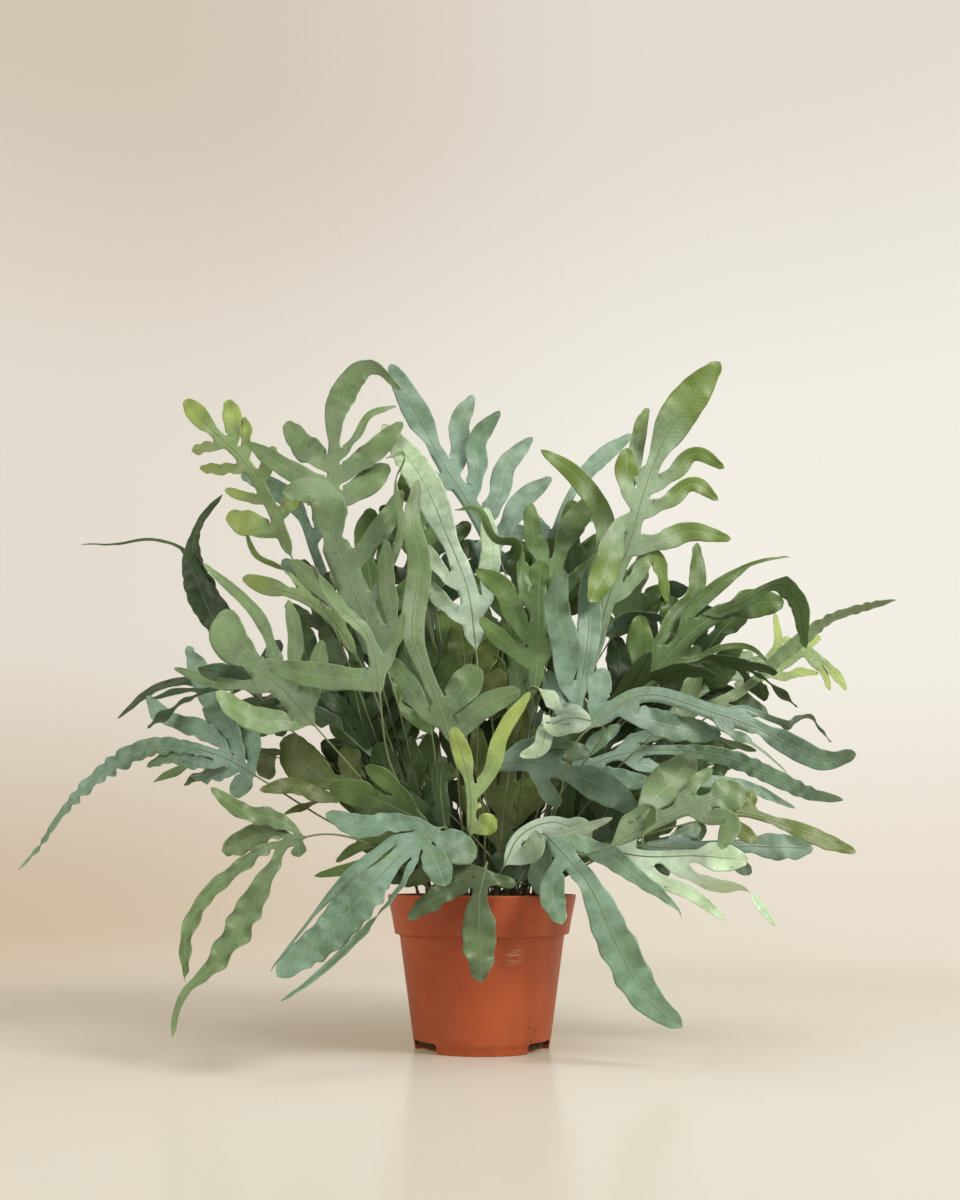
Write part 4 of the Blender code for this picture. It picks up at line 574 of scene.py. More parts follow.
class Skin:
    # One sheet of points and faces. A row is a list of (point, across, along, distance from the margin).
    def __init__(self):
        self.points = []
        self.faces = []
        self.marks = []
        self.shares = []

    def row(self, spots, acrosses, along, margins, share=0.0):
        # The share tells how far along its lobe the row lies.
        first = len(self.points)
        self.points.extend(spots)
        self.shares.extend([share] * len(spots))
        return [(first + i, u, along, m) for i, (u, m) in enumerate(zip(acrosses, margins))]

    def stitch(self, a, b, flip=False):
        # Joins two rows, also where one has more points than the other.
        i = j = 0
        while i < len(a) - 1 or j < len(b) - 1:
            nextA = (i + 1) / (len(a) - 1) if i < len(a) - 1 else 9.0
            nextB = (j + 1) / (len(b) - 1) if j < len(b) - 1 else 9.0
            if abs(nextA - nextB) < 1e-6:
                corners = [a[i], a[i + 1], b[j + 1], b[j]]
                i, j = i + 1, j + 1
            elif nextA < nextB:
                corners = [a[i], a[i + 1], b[j]]
                i += 1
            else:
                corners = [a[i], b[j + 1], b[j]]
                j += 1
            if flip:
                corners.reverse()
            self.faces.append([c[0] for c in corners])
            self.marks.append([c[1:] for c in corners])


columns = (1.0, 0.86, 0.60, 0.26, 0.0, -0.26, -0.60, -0.86, -1.0)
wingColumns = (1.0, 0.5, 0.0, -0.5, -1.0)


def shapeOf(path, seen):
    return backShape if not seen else longShape if path.length > longCourse else shortShape


class Strip:
    # A lobe or the terminal lobe: how wide it is, how it rolls and how its margins wave.
    def __init__(self, shape, start, width, twist, draw, fine, crisp):
        flip = draw.choice((-1, 1))
        self.halves, self.rolls = [(0.0, start)], [(0.0, 0.0)]
        for i, (share, swell) in enumerate(shape):
            wave = math.radians(draw.uniform(*leaf["roll"])) * flip * (-1) ** i
            half = max(width / 2 * swell * draw.uniform(0.94, 1.06), leaf["tipHalf"])
            self.halves.append((share, half))
            self.rolls.append((share, wave + twist * 2 * math.pi * share))
        self.last, self.lastHalf = self.halves[-2]
        self.crisp = crisp * fine.uniform(0.7, 1.25)
        self.wave = leaf["wave"] * fine.uniform(0.8, 1.3)
        self.phase = [fine.uniform(0, 2 * math.pi) for _ in range(3)]
        self.cup = leaf["cup"] * fine.uniform(-0.6, 1.0)
        self.point = fine.uniform(1.7, 2.4)

    def half(self, share):
        if share > self.last:
            x = (share - self.last) / (1 - self.last)
            return max(self.lastHalf * (1 - x ** self.point) ** 0.72, leaf["tipHalf"])
        return eased(self.halves, share)

    def roll(self, share):
        return eased(self.rolls, share)

    def lifted(self, s, u, half):
        # How far the blade stands off its plane at a distance along it, and how far its margin is drawn in.
        side = 0 if u > 0 else 1
        waves = s / self.wave
        phase = 2 * math.pi * s / self.wave + self.phase[side] + 0.9 * math.sin(waves * 2.1 + self.phase[2])
        swell = 0.62 + 0.38 * math.sin(waves * 1.7 + self.phase[2])
        wave = math.sin(phase) * swell * abs(u) ** 1.7 * half * leaf["ruffle"] * self.crisp
        furrow = leaf["ribSink"] * math.exp(-(u * half / leaf["ribFurrow"]) ** 2)
        fold = self.cup * abs(u) ** 1.4 * half - furrow
        return wave + fold, 1 + leaf["gather"] * self.crisp * swell * math.cos(phase + 0.8) * abs(u)


def smooth(x):
    x = min(max(x, 0.0), 1.0)
    return x * x * (3 - 2 * x)


def narrowed(ends, foot, outward):
    # A lobe that leans along the rachis is narrowed on its inner margin.
    ends = list(ends)
    for a, c in ((0, 1), (1, 0)):
        short = leaf["rachisGap"] - (ends[a] - foot).dot(outward)
        across = ends[c] - ends[a]
        room = across.dot(outward)
        if short > 0 and room > across.length * 0.2:
            ends[a] = ends[a].lerp(ends[c], min(short / room, 0.8))
    return ends


def growStrip(skin, path, low, strip, across, side, before, seen, foot=None, outward=None):
    # Rows from the row before to the tip. A lobe starts on its root row, and the terminal lobe on the rachis.
    length = path.length - low
    count = max(7, math.ceil(length / leaf["step"]))
    places = [low + length * (i / count) for i in range(count + 1)]
    roots = [skin.points[c[0]] for c in before]
    blend = min(length * 0.24, leaf["opening"])
    bottom = path.at(low)
    for s, (spot, on, out) in list(zip(places, carried(path, places, across)))[1:]:
        share = (s - low) / length
        out, half = rolled(spot, on, out, strip.roll(share), strip.half(share), seen)
        normal = on.cross(out) * side
        ends = [spot + out * half, spot - out * half]
        if outward is not None:
            ends = narrowed(ends, foot, outward)
        middle, reach = (ends[0] + ends[1]) / 2, (ends[0] - ends[1]) / 2
        half = reach.length
        eager = smooth((s - low) / blend)
        spots = []
        for u in columns:
            lift, draw = strip.lifted(s - low, u, half)
            aimed = middle + reach * (u * draw) + normal * lift
            if eager < 1:
                k = (1 - u) / 2 * (len(roots) - 1)
                i = min(int(k), len(roots) - 2)
                root = roots[i].lerp(roots[i + 1], k - i) + (spot - bottom)
                aimed = root.lerp(aimed, eager)
            spots.append(aimed)
        margins = [(1 - abs(u)) * half / mm for u in columns]
        after = skin.row(spots, [u * half for u in columns], s - low, margins, share)
        skin.stitch(before, after, side < 0)
        before = after
    tip = skin.row([path.at(path.length) + on * leaf["tipHalf"]], [0.0], length, [0.0], 1.0) * 2
    for a, b in zip(before, before[1:]):
        corners = [a, b, tip[0]] if side > 0 else [tip[0], b, a]
        skin.faces.append([c[0] for c in corners])
        skin.marks.append([c[1:] for c in corners])


def lobeRoots(lobes, path, mark, start, stop):
    # The stretch of rachis that each lobe grows from, on its own side.
    # It is longer where a lobe leaves at a slant.
    roots = []
    gap = leaf["rootGap"]
    for side in (1, -1):
        own = []
        for item in lobes:
            if item[1] == side:
                place = path.station(mark + item[0])
                aim = (item[4][0] - path.at(place)).normalized()
                slant = max(aim.cross(path.heading(place)).length, 0.55)
                own.append([place, item, min(item[2] * leaf["rootShare"] / slant, leaf["widestRoot"])])
        own.sort(key=lambda pair: pair[0])
        room = (stop - start - gap) / max(len(own), 1) - gap
        for i, pair in enumerate(own):
            pair[2] = min(pair[2], room * 0.49)
            pair[0] = max(pair[0], (start if i == 0 else own[i - 1][0] + own[i - 1][2]) + pair[2] + gap)
        limit = stop
        for pair in reversed(own):
            pair[0] = min(pair[0], limit - pair[2] - gap)
            limit = pair[0] - pair[2]
        roots += [(side, centre - half, centre + half, item) for centre, item, half in own]
    return roots


def growBlade(skeleton, path, mark, draw, fine, crisp):
    # A frond's sheet, and where it begins and where the terminal lobe does, along the path.
    seen, step = skeleton["seen"], leaf["webStep"]
    base = path.reach[path.marks[mark]]
    last = max([item[0] for item in skeleton["lobes"]] + [0.2]) + 0.25
    last = min(last, len(skeleton["blade"]) - 1.5)
    end = path.station(mark + last)
    across = skeleton["normal"].cross(skeleton["blade"][1] - skeleton["blade"][0]).normalized()
    roots = lobeRoots(skeleton["lobes"], path, mark, base, end)
    count = math.ceil((end - base) / step)
    places = [base + (end - base) * i / count for i in range(count + 1)]

    def rowAt(s):
        return round((s - base) / (end - base) * count)

    spans = [(side, rowAt(low), rowAt(high), item) for side, low, high, item in roots]
    skin = Skin()
    rows = []
    for j, (s, (spot, on, out)) in enumerate(zip(places, carried(path, places, across))):
        out, _ = rolled(spot, on, out, 0.0, 0.0, False)
        reach, margins = [], []
        for side in (1, -1):
            inside = [min(j - a, b - j) * step for own, a, b, _ in spans if own == side and a <= j <= b]
            outside = [max(a - j, j - b) * step for own, a, b, _ in spans if own == side]
            nearest = 1.0 if inside else max([math.exp(-d / leaf["flareFade"]) for d in outside] + [0.0])
            opening = smooth((s - base) / leaf["opening"])
            opened = min((s - base) / leaf["webOpening"], 1.0)
            web = leaf["wing"] + (skeleton["web"] - leaf["wing"]) * opened
            reach.append((web + leaf["flare"] * nearest) * (0.35 + 0.65 * opening))
            margins.append(inside[0] if inside else 0.0)
        _, wide = rolled(spot, on, out, 0.0, 1.0, seen)
        spots, acrosses, edges = [], [], []
        for u in wingColumns:
            half = reach[0] if u > 0 else reach[1]
            deep = margins[0] if u > 0 else margins[1]
            spots.append(spot + out * (u * half * wide))
            acrosses.append(u * half)
            edges.append(math.hypot((1 - abs(u)) * half, deep) / mm)
        rows.append(skin.row(spots, acrosses, s - base, edges))
        normal = on.cross(out)
        if j:
            skin.stitch(rows[-2], rows[-1])
    for side, a, b, item in spans:
        _, _, width, twist, course = item
        column = 0 if side > 0 else -1
        root = [rows[j][column] for j in range(a, b + 1)]
        spots = [skin.points[c[0]] for c in root]
        foot = (spots[0] + spots[-1]) / 2
        along = spots[-1] - spots[0]
        outward = along.cross(normal).normalized()
        aim = course[0] - foot
        if outward.dot(aim) < 0:
            outward = -outward
        ahead = aim.normalized()
        bow = (outward - ahead * outward.dot(ahead)) * (aim.length * fine.uniform(0.03, 0.10))
        own = Course([foot, foot + aim * 0.45 + bow] + course)
        out = own.heading(0.0).cross(normal).normalized()
        if out.dot(along) > 0:
            out = -out
        strip = Strip(shapeOf(own, seen), along.length / 2, width, twist, draw, fine, crisp)
        deep = len(root) - 1
        before = [(c[0], along.length * (0.5 - k / deep), 0.0, min(k, deep - k) * step / mm)
                  for k, c in enumerate(root)]
        growStrip(skin, own, 0.0, strip, out, side, before, seen, foot, outward)
    _, on, out = carried(path, [base, end], across)[1]
    shape = tailShape if skeleton["tail"] else terminalShape
    strip = Strip(shape, skeleton["web"], skeleton["width"], skeleton["twist"], draw, fine, crisp)
    before = [(c[0], c[1], 0.0, c[3]) for c in rows[-1]]
    growStrip(skin, path, end, strip, out, 1, before, seen)
    return skin, base, end


def shell(skin):
    # The sheet as a closed blade with an upper and a lower face: its points, faces, marks and sides.
    points = np.array([tuple(p) for p in skin.points])
    normals = np.zeros_like(points)
    for face in skin.faces:
        a, b, c = points[face[0]], points[face[1]], points[face[-1]]
        normals[face] += np.cross(b - a, c - a)
    normals /= np.maximum(np.linalg.norm(normals, axis=1), 1e-12)[:, None]
    count = len(points)
    edges = {}
    for face, marks in zip(skin.faces, skin.marks):
        for k, corner in enumerate(face):
            pair = (corner, face[(k + 1) % len(face)])
            edges[pair] = (marks[k], marks[(k + 1) % len(face)])
    half = leaf["thick"] / 2
    both = np.concatenate([points + normals * half, points - normals * half])
    faces = [list(face) for face in skin.faces] + [[c + count for c in reversed(face)] for face in skin.faces]
    marks = [list(m) for m in skin.marks] + [list(reversed(m)) for m in skin.marks]
    sides = [1.0] * len(skin.faces) + [0.0] * len(skin.faces)
    for (a, b), (m, n) in edges.items():
        if (b, a) not in edges:
            faces.append([b, a, a + count, b + count])
            marks.append([n, m, m, n])
            sides.append(0.5)
    return both, faces, marks, sides


class Growth:
    # A Geometry Nodes tree that takes one mesh and has named inputs for its sizes.
    def __init__(self, name, **sizes):
        self.tree = bpy.data.node_groups.new(name, "GeometryNodeTree")
        self.sizes = sizes
        sockets = self.tree.interface
        sockets.new_socket("Geometry", in_out="INPUT", socket_type="NodeSocketGeometry")
        sockets.new_socket("Geometry", in_out="OUTPUT", socket_type="NodeSocketGeometry")
        self.keys = {}
        for label, value in sizes.items():
            kind = "NodeSocketInt" if isinstance(value, int) else "NodeSocketFloat"
            self.keys[label] = sockets.new_socket(label, in_out="INPUT", socket_type=kind).identifier
        self.given = self.tree.nodes.new("NodeGroupInput")
        self.result = self.tree.nodes.new("NodeGroupOutput")
        self.last = self.given.outputs[0]

    def size(self, label):
        return self.given.outputs[label]

    def node(self, kind, settings=None, sockets=None, out=0):
        made = self.tree.nodes.new(kind)
        for name, value in (settings or {}).items():
            setattr(made, name, value)
        for name, value in (sockets or {}).items():
            if isinstance(value, bpy.types.NodeSocket):
                self.tree.links.new(value, made.inputs[name])
            else:
                made.inputs[name].default_value = value
        return made.outputs[out]

    def random(self, kind, low, high, seed):
        # Its sockets' numbers are those of the lowest value, the highest and the result.
        slots = {"FLOAT": (2, 3, 1), "FLOAT_VECTOR": (0, 1, 0)}[kind]
        return self.node("FunctionNodeRandomValue", {"data_type": kind},
                         {slots[0]: low, slots[1]: high, 8: seed}, slots[2])

    def grown(self, mesh, name, material):
        # The tree's result on a mesh, as a plain object.
        last = self.node("GeometryNodeRealizeInstances", None, {0: self.last})
        last = self.node("GeometryNodeSetMaterial", None, {0: last, 2: material})
        self.tree.links.new(last, self.result.inputs[0])
        piece = linked(name + " seed", mesh)
        modifier = piece.modifiers.new("growth", "NODES")
        modifier.node_group = self.tree
        for label, value in self.sizes.items():
            modifier[self.keys[label]] = value
        return settledMesh(piece, name)


def linked(name, data):
    made = bpy.data.objects.new(name, data)
    bpy.context.scene.collection.objects.link(made)
    return made


def settledMesh(piece, name):
    # The piece's evaluated mesh as a plain object of its own.
    depsgraph = bpy.context.evaluated_depsgraph_get()
    made = linked(name, bpy.data.meshes.new_from_object(piece.evaluated_get(depsgraph)))
    bpy.data.objects.remove(piece, do_unlink=True)
    return made


def coated(piece, material):
    piece.data.materials.clear()
    piece.data.materials.append(material)
    piece.data.shade_smooth()


def buildStrands(strands, name, material, sides):
    # Round strands along courses of (point, radius, share of the length), swept by Geometry Nodes.
    points = [tuple(spot) for strand in strands for spot, _, _ in strand]
    edges, first = [], 0
    for strand in strands:
        edges += [(first + i, first + i + 1) for i in range(len(strand) - 1)]
        first += len(strand)
    mesh = bpy.data.meshes.new(name + " courses")
    mesh.from_pydata(points, edges, [])
    for label, k in (("radius", 1), ("share", 2)):
        layer = mesh.attributes.new(label, "FLOAT", "POINT")
        layer.data.foreach_set("value", [item[k] for strand in strands for item in strand])
    tree = Growth(name, sides=sides)
    curve = tree.node("GeometryNodeMeshToCurve", None, {0: tree.given.outputs[0]})
    ring = tree.node("GeometryNodeCurvePrimitiveCircle", None, {0: tree.size("sides"), 4: 1.0})
    radius = tree.node("GeometryNodeInputNamedAttribute", {"data_type": "FLOAT"}, {0: "radius"})
    swept = tree.node("GeometryNodeCurveToMesh", None, {0: curve, 1: ring, 2: radius, 3: True})
    tree.last = tree.node("GeometryNodeSetShadeSmooth", None, {0: swept, 2: True})
    piece = tree.grown(mesh, name, material)
    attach(piece, "root")
    return piece


def strand(path, stops, step):
    # A course of (point, radius, share) along a path. stops are (distance along, radius).
    length = stops[-1][0]
    count = math.ceil(length / step)
    places = [length * i / count for i in range(count + 1)]
    return [(path.at(s), eased(stops, s), s / path.length) for s in places]


def stalkPoints(root, skeleton):
    # The points of a frond's course, from its hole in the soil to the tip of the blade.
    ground = soilHeight(math.hypot(root.x, root.y))
    below = Vector((root.x, root.y, ground - soil["holeDepth"] + soil["embed"]))
    rim = Vector((root.x, root.y, ground + soil["straight"]))
    first = (skeleton["stalk"] + skeleton["blade"])[0]
    rise = rim.lerp(first, 0.45)
    rise.z += (first - rim).length * 0.10
    return [below, rim, rise] + skeleton["stalk"] + skeleton["blade"]


def buildLeaf(name, tone, root, skeleton, draw):
    # One blade. Returns its piece, and the course of its stalk and rachis.
    fine = random.Random(name + " fine")
    mark = 3 + len(skeleton["stalk"])
    path = Course(stalkPoints(root, skeleton), mark)
    skin, base, end = growBlade(skeleton, path, mark, draw, fine, crisped.get(name, 1.0))
    spots, faces, marks, sides = shell(skin)
    mesh = bpy.data.meshes.new("blade " + name)
    mesh.from_pydata(list(map(tuple, spots)), [], faces)
    follow = mesh.uv_layers.new(name="follow")
    follow.data.foreach_set("uv", [x for m in marks for c in m for x in (c[0], c[1])])
    rim = mesh.uv_layers.new(name="rim")
    rim.data.foreach_set("uv", [x for m, side in zip(marks, sides) for c in m for x in (c[2], side)])
    mesh.materials.append(leafFinishes[painted.get(name, tone)])
    mesh.polygons.foreach_set("use_smooth", [True] * len(faces))
    # The tint is the frond's lightness with a little random change: partly its own tone, partly painted light
    # and shade.
    tintAndPaintedLight = mesh.attributes.new("tintAndPaintedLight", "FLOAT", "POINT")
    tintAndPaintedLight.data.foreach_set("value", [lightnessAndPaintedLight.get(name, 1.0) * fine.uniform(0.90, 1.10)] * len(spots))
    reach = mesh.attributes.new("reach", "FLOAT", "POINT")
    reach.data.foreach_set("value", skin.shares * 2)
    mesh.update()
    piece = linked(name.replace("frond_", "leaf_"), mesh)
    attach(piece, "root")
    "frond_" + tone
    stops = [(0.0, leaf["stalk"]), (base, leaf["rachis"]), (end, leaf["rachis"] * 0.6),
             (path.length * 0.985, leaf["ribTip"])]
    return piece, strand(path, stops, leaf["stalkStep"])


class Wire:
    # A socket that Python's operators work on.
    def __init__(self, finish, socket):
        self.finish, self.socket = finish, socket

    def maths(self, operation, *values):
        return self.finish.node("ShaderNodeMath", {"operation": operation}, dict(enumerate(values)))

    def __add__(self, other):
        return self.maths("ADD", self, other)

    def __sub__(self, other):
        return self.maths("SUBTRACT", self, other)

    def __mul__(self, other):
        return self.maths("MULTIPLY", self, other)

    def __truediv__(self, other):
        return self.maths("DIVIDE", self, other)

    def __abs__(self):
        return self.maths("ABSOLUTE", self)

    def __rsub__(self, other):
        return self.maths("SUBTRACT", other, self)

    def __rtruediv__(self, other):
        return self.maths("DIVIDE", other, self)

    def fraction(self):
        return self.maths("FRACT", self)

    def step(self, low, high):
        # 0 below low and 1 above high, with a soft change between them.
        settings = {"interpolation_type": "SMOOTHSTEP"}
        return self.finish.node("ShaderNodeMapRange", settings, {0: self, 1: low, 2: high, 3: 0.0, 4: 1.0})

    __radd__ = __add__
    __rmul__ = __mul__


class Finish:
    # A material with one Principled shader.
    def __init__(self, name, **fixed):
        self.material = bpy.data.materials.new(name)
        self.material.use_nodes = True
        self.tree = self.material.node_tree
        self.shader = self.tree.nodes["Principled BSDF"]
        for socket, value in fixed.items():
            self.shader.inputs[socket.replace("_", " ")].default_value = value

    def node(self, kind, settings=None, sockets=None, out=0):
        made = self.tree.nodes.new(kind)
        for name, value in (settings or {}).items():
            setattr(made, name, value)
        for name, value in (sockets or {}).items():
            if isinstance(value, Wire):
                self.tree.links.new(value.socket, made.inputs[name])
            elif value is not None:
                kept = made.inputs[name]
                kept.default_value = (*value, 1.0) if kept.type == "RGBA" else value
        return Wire(self, made.outputs[out])

    def noise(self, place, scale, detail=3.0, roughness=0.5, warp=0.0):
        sockets = {"Vector": place, "Scale": scale, "Detail": detail, "Roughness": roughness,
                   "Distortion": warp}
        return self.node("ShaderNodeTexNoise", {"noise_dimensions": "3D"}, sockets)

    def mix(self, factor, a, b, blend="MIX"):
        # Sockets 6 and 7 take the colours, and socket 2 gives the mixed one.
        return self.node("ShaderNodeMix", {"data_type": "RGBA", "blend_type": blend},
                         {0: factor, 6: a, 7: b}, 2)

    def place(self):
        return self.node("ShaderNodeTexCoord", None, None, "Object")

    def axis(self, vector, letter):
        return self.node("ShaderNodeSeparateXYZ", None, {0: vector}, letter)

    def attribute(self, name):
        return self.node("ShaderNodeAttribute", {"attribute_name": name}, None, "Fac")

    def bump(self, height, strength, distance, normal=None):
        sockets = {"Height": height, "Strength": strength, "Distance": distance, "Normal": normal}
        return self.node("ShaderNodeBump", None, sockets)

    def feed(self, **links):
        for name, wire in links.items():
            self.tree.links.new(wire.socket, self.shader.inputs[name.replace("_", " ")])
        return self.material


# Each leaf finish: the upper face, the bloom on it, the under face, the veins and margin, the lobes' ends,
# and how strongly the ends turn to their own colour
leafColours = {
    "blue": ((0.066, 0.124, 0.064), (0.185, 0.285, 0.215), (0.125, 0.195, 0.110), (0.260, 0.350, 0.215),
             (0.120, 0.200, 0.100), 0.30),
    "grey": ((0.084, 0.136, 0.052), (0.180, 0.250, 0.138), (0.140, 0.200, 0.095), (0.260, 0.335, 0.180),
             (0.125, 0.195, 0.055), 0.45),
    "green": ((0.046, 0.100, 0.020), (0.118, 0.190, 0.076), (0.105, 0.168, 0.056), (0.210, 0.290, 0.105),
              (0.115, 0.185, 0.036), 0.45),
    "lime": ((0.120, 0.190, 0.050), (0.250, 0.340, 0.150), (0.170, 0.250, 0.055), (0.330, 0.410, 0.150),
             (0.290, 0.370, 0.085), 0.85),
    "spring": ((0.130, 0.200, 0.085), (0.255, 0.350, 0.230), (0.170, 0.250, 0.075), (0.290, 0.375, 0.200),
               (0.110, 0.170, 0.018), 0.95),
    "olive": ((0.056, 0.082, 0.014), (0.120, 0.160, 0.054), (0.110, 0.142, 0.040), (0.225, 0.265, 0.095),
              (0.105, 0.135, 0.024), 0.40),
    # The dark finish is partly a deeper green and partly painted shade, for fronds in the plant's shaded
    # inside.
    "dark": ((0.018, 0.042, 0.007), (0.052, 0.094, 0.034), (0.050, 0.084, 0.024), (0.115, 0.170, 0.062),
             (0.044, 0.078, 0.014), 0.40),
    # The silver finish is partly the fronds' pale bloom and partly a painted sheen.
    "silver": ((0.240, 0.330, 0.205), (0.520, 0.640, 0.500), (0.270, 0.360, 0.220), (0.520, 0.610, 0.440),
               (0.330, 0.430, 0.200), 0.45),
}
# Colours of young patches, specks and blotches, and sizes of the veins, the net between them and the midrib
leafMarks = {
    "young": (0.150, 0.215, 0.040), "specks": (0.045, 0.048, 0.018), "blotches": (0.050, 0.085, 0.016),
    "veinSpacing": 0.0058, "net": 330.0, "ribHalf": 0.0004, "ribFade": 0.0015, "relief": 0.0006,
    "gloss": 0.52,
}


def leafFinish(name):
    face, bloom, under, margin, ends, endShare = leafColours[name]
    make = Finish("leaf " + name, Specular_IOR_Level=0.25)
    follow = make.node("ShaderNodeUVMap", {"uv_map": "follow"})
    rim = make.node("ShaderNodeUVMap", {"uv_map": "rim"})
    off, along = abs(make.axis(follow, "X")), make.axis(follow, "Y")
    edge, top = make.axis(rim, "X"), make.axis(rim, "Y")
    tintAndPaintedLight, reach = make.attribute("tintAndPaintedLight"), make.attribute("reach")
    place = make.place()
    drift = make.noise(place, 38.0, 2.0)
    patch = make.noise(place, 15.0, 4.0, 0.6, 0.4)
    mottle = make.noise(place, 120.0, 4.0, 0.6)
    fine = make.noise(place, 900.0, 2.0)
    # Side veins run obliquely from the midrib to the margin.
    vein = ((along - off * 0.75) / leafMarks["veinSpacing"] + drift * 0.9).fraction()
    line = 1.0 - abs(vein - 0.5).step(0.02, 0.15)
    # A fine net of veins between them
    net = make.node("ShaderNodeTexVoronoi", {"feature": "DISTANCE_TO_EDGE"},
                    {"Vector": place, "Scale": leafMarks["net"]})
    cell = 1.0 - net.step(0.0, 0.10)
    colour = make.mix((patch * 0.75 + mottle * 0.45).step(0.36, 0.80), face, bloom)
    # Yellow-green patches, a pale bloom where the lobes meet, and lobes that green towards their ends
    young = make.noise(place, 22.0, 3.0, 0.5, 0.8).step(0.52, 0.74)
    colour = make.mix(young * 0.30, colour, leafMarks["young"])
    colour = make.mix((1.0 - reach.step(0.0, 0.35)) * 0.25, colour, bloom)
    colour = make.mix((reach + (patch - 0.5) * 0.8).step(0.08, 0.66) * endShare, colour, ends)
    colour = make.mix(fine.step(0.3, 0.8) * 0.12, colour, margin)
    colour = make.mix(line * 0.075, colour, margin)
    colour = make.mix(cell * 0.08, colour, face)
    rib = 1.0 - off.step(leafMarks["ribHalf"], leafMarks["ribFade"])
    colour = make.mix(rib * 0.22, colour, margin)
    below = make.mix(mottle.step(0.35, 0.7) * 0.5, under, bloom)
    below = make.mix(line * 0.22, below, face)
    below = make.mix(rib * 0.6, below, face)
    colour = make.mix(top, below, colour)
    rimLine = 1.0 - (edge + mottle * 0.5).step(0.35, 1.05)
    colour = make.mix(rimLine * 0.45, colour, margin)
    speck = make.noise(place, 230.0, 2.0, 0.6).step(0.69, 0.73)
    colour = make.mix(speck * 0.60, colour, leafMarks["specks"])
    blotch = make.noise(place, 60.0, 3.0, 0.7, 1.2).step(0.64, 0.80)
    colour = make.mix(blotch * 0.38, colour, leafMarks["blotches"])
    # Each frond's lightness, partly painted light and shade, varied in random patches
    shade = tintAndPaintedLight + (patch - 0.5) * 0.60
    bright = make.node("ShaderNodeCombineXYZ", None, {0: shade, 1: shade, 2: shade})
    colour = make.mix(1.0, colour, bright, "MULTIPLY")
    gloss = leafMarks["gloss"] - top * 0.12 + (mottle - 0.5) * 0.25
    height = line * 0.30 + cell * 0.12 + mottle * 0.55 + rib * 0.4
    normal = make.bump(height, 0.40, leafMarks["relief"])
    return make.feed(Base_Color=colour, Roughness=gloss, Normal=normal)


# The stalks' colours, darker and lighter, near the soil and up in the plant
stalkColours = {
    "low": ((0.060, 0.045, 0.018), (0.165, 0.165, 0.060)),
    "high": ((0.120, 0.155, 0.062), (0.185, 0.240, 0.115)),
}


def stalkMaterial():
    make = Finish("leaf stalk", Specular_IOR_Level=0.4)
    streak = make.noise(make.place(), 260.0, 3.0)
    low = make.mix(streak, *stalkColours["low"])
    high = make.mix(streak, *stalkColours["high"])
    colour = make.mix(make.attribute("share").step(0.05, 0.45), low, high)
    relief = make.bump(streak, 0.3, 0.0004)
    return make.feed(Base_Color=colour, Roughness=0.42 + streak * 0.2, Normal=relief)


# The pot's plastic, darker and lighter, and what shows on it
potMarks = {
    "dark": (0.385, 0.066, 0.016), "light": (0.480, 0.097, 0.027),
    "scratch": (0.68, 0.36, 0.22), "worn": (0.20, 0.030, 0.010), "dust": (0.58, 0.30, 0.18),
    "scuff": (0.82, 0.62, 0.48), "scuffPlace": (0.0300, -0.0740, 0.0910),
    "splash": (0.022, 0.012, 0.006), "footDarkening": (0.20, 0.070, 0.028), "gloss": 0.42,
}


def potFinish():
    make = Finish("nursery pot plastic", Specular_IOR_Level=0.34)
    place = make.place()
    side, height = make.axis(place, "X"), make.axis(place, "Z")
    cloud = make.noise(place, 9.0, 4.0, 0.6)
    grain = make.noise(place, 1500.0, 2.0)
    colour = make.mix(cloud.step(0.30, 0.72), potMarks["dark"], potMarks["light"])
    # Fine scratches lie about level round the pot.
    stretched = make.node("ShaderNodeMapping", None, {"Vector": place, "Rotation": (0.05, 0.08, 0.0),
                                                      "Scale": (45.0, 45.0, 620.0)})
    scuffed = make.noise(place, 22.0, 3.0).step(0.50, 0.68)
    scratch = make.noise(stretched, 1.0, 3.0, 0.7).step(0.64, 0.72) * scuffed
    colour = make.mix(scratch * 0.30, colour, potMarks["scratch"])
    rubbed = make.noise(place, 31.0, 2.0).step(0.55, 0.66)
    worn = make.noise(stretched, 1.7, 3.0, 0.6).step(0.62, 0.70) * rubbed
    colour = make.mix(worn * 0.35, colour, potMarks["worn"])
    dust = make.noise(place, 75.0, 5.0, 0.7).step(0.50, 0.80)
    colour = make.mix(dust * 0.13, colour, potMarks["dust"])
    # One pale scuff on the front, and soil splashed at the foot, mostly to the right
    away = make.node("ShaderNodeVectorMath", {"operation": "DISTANCE"},
                     {0: place, 1: potMarks["scuffPlace"]}, "Value")
    smear = (1.0 - away.step(0.003, 0.013)) * make.noise(stretched, 1.3, 2.0).step(0.44, 0.60)
    colour = make.mix(smear * 0.32, colour, potMarks["scuff"])
    splash = side.step(0.022, 0.052) * (1.0 - height.step(0.026, 0.044))
    splash = splash + (1.0 - height.step(0.004, 0.016)) * 0.45
    clump = make.noise(place, 90.0, 2.0).step(0.42, 0.56)
    speck = make.noise(place, 520.0, 2.0, 0.5).step(0.600, 0.640) * clump
    colour = make.mix(speck * splash, colour, potMarks["splash"])
    # Darker in patches towards the foot
    footDarkening = make.noise(place, 30.0, 4.0, 0.7).step(0.45, 0.75) * (1.0 - height.step(0.010, 0.050))
    colour = make.mix(footDarkening * 0.35, colour, potMarks["footDarkening"])
    gloss = potMarks["gloss"] + cloud * 0.10 + dust * 0.12 + scratch * 0.15
    relief = make.bump(cloud, 0.25, 0.0010, make.bump(grain, 0.12, 0.0003))
    return make.feed(Base_Color=colour, Roughness=gloss, Normal=relief)


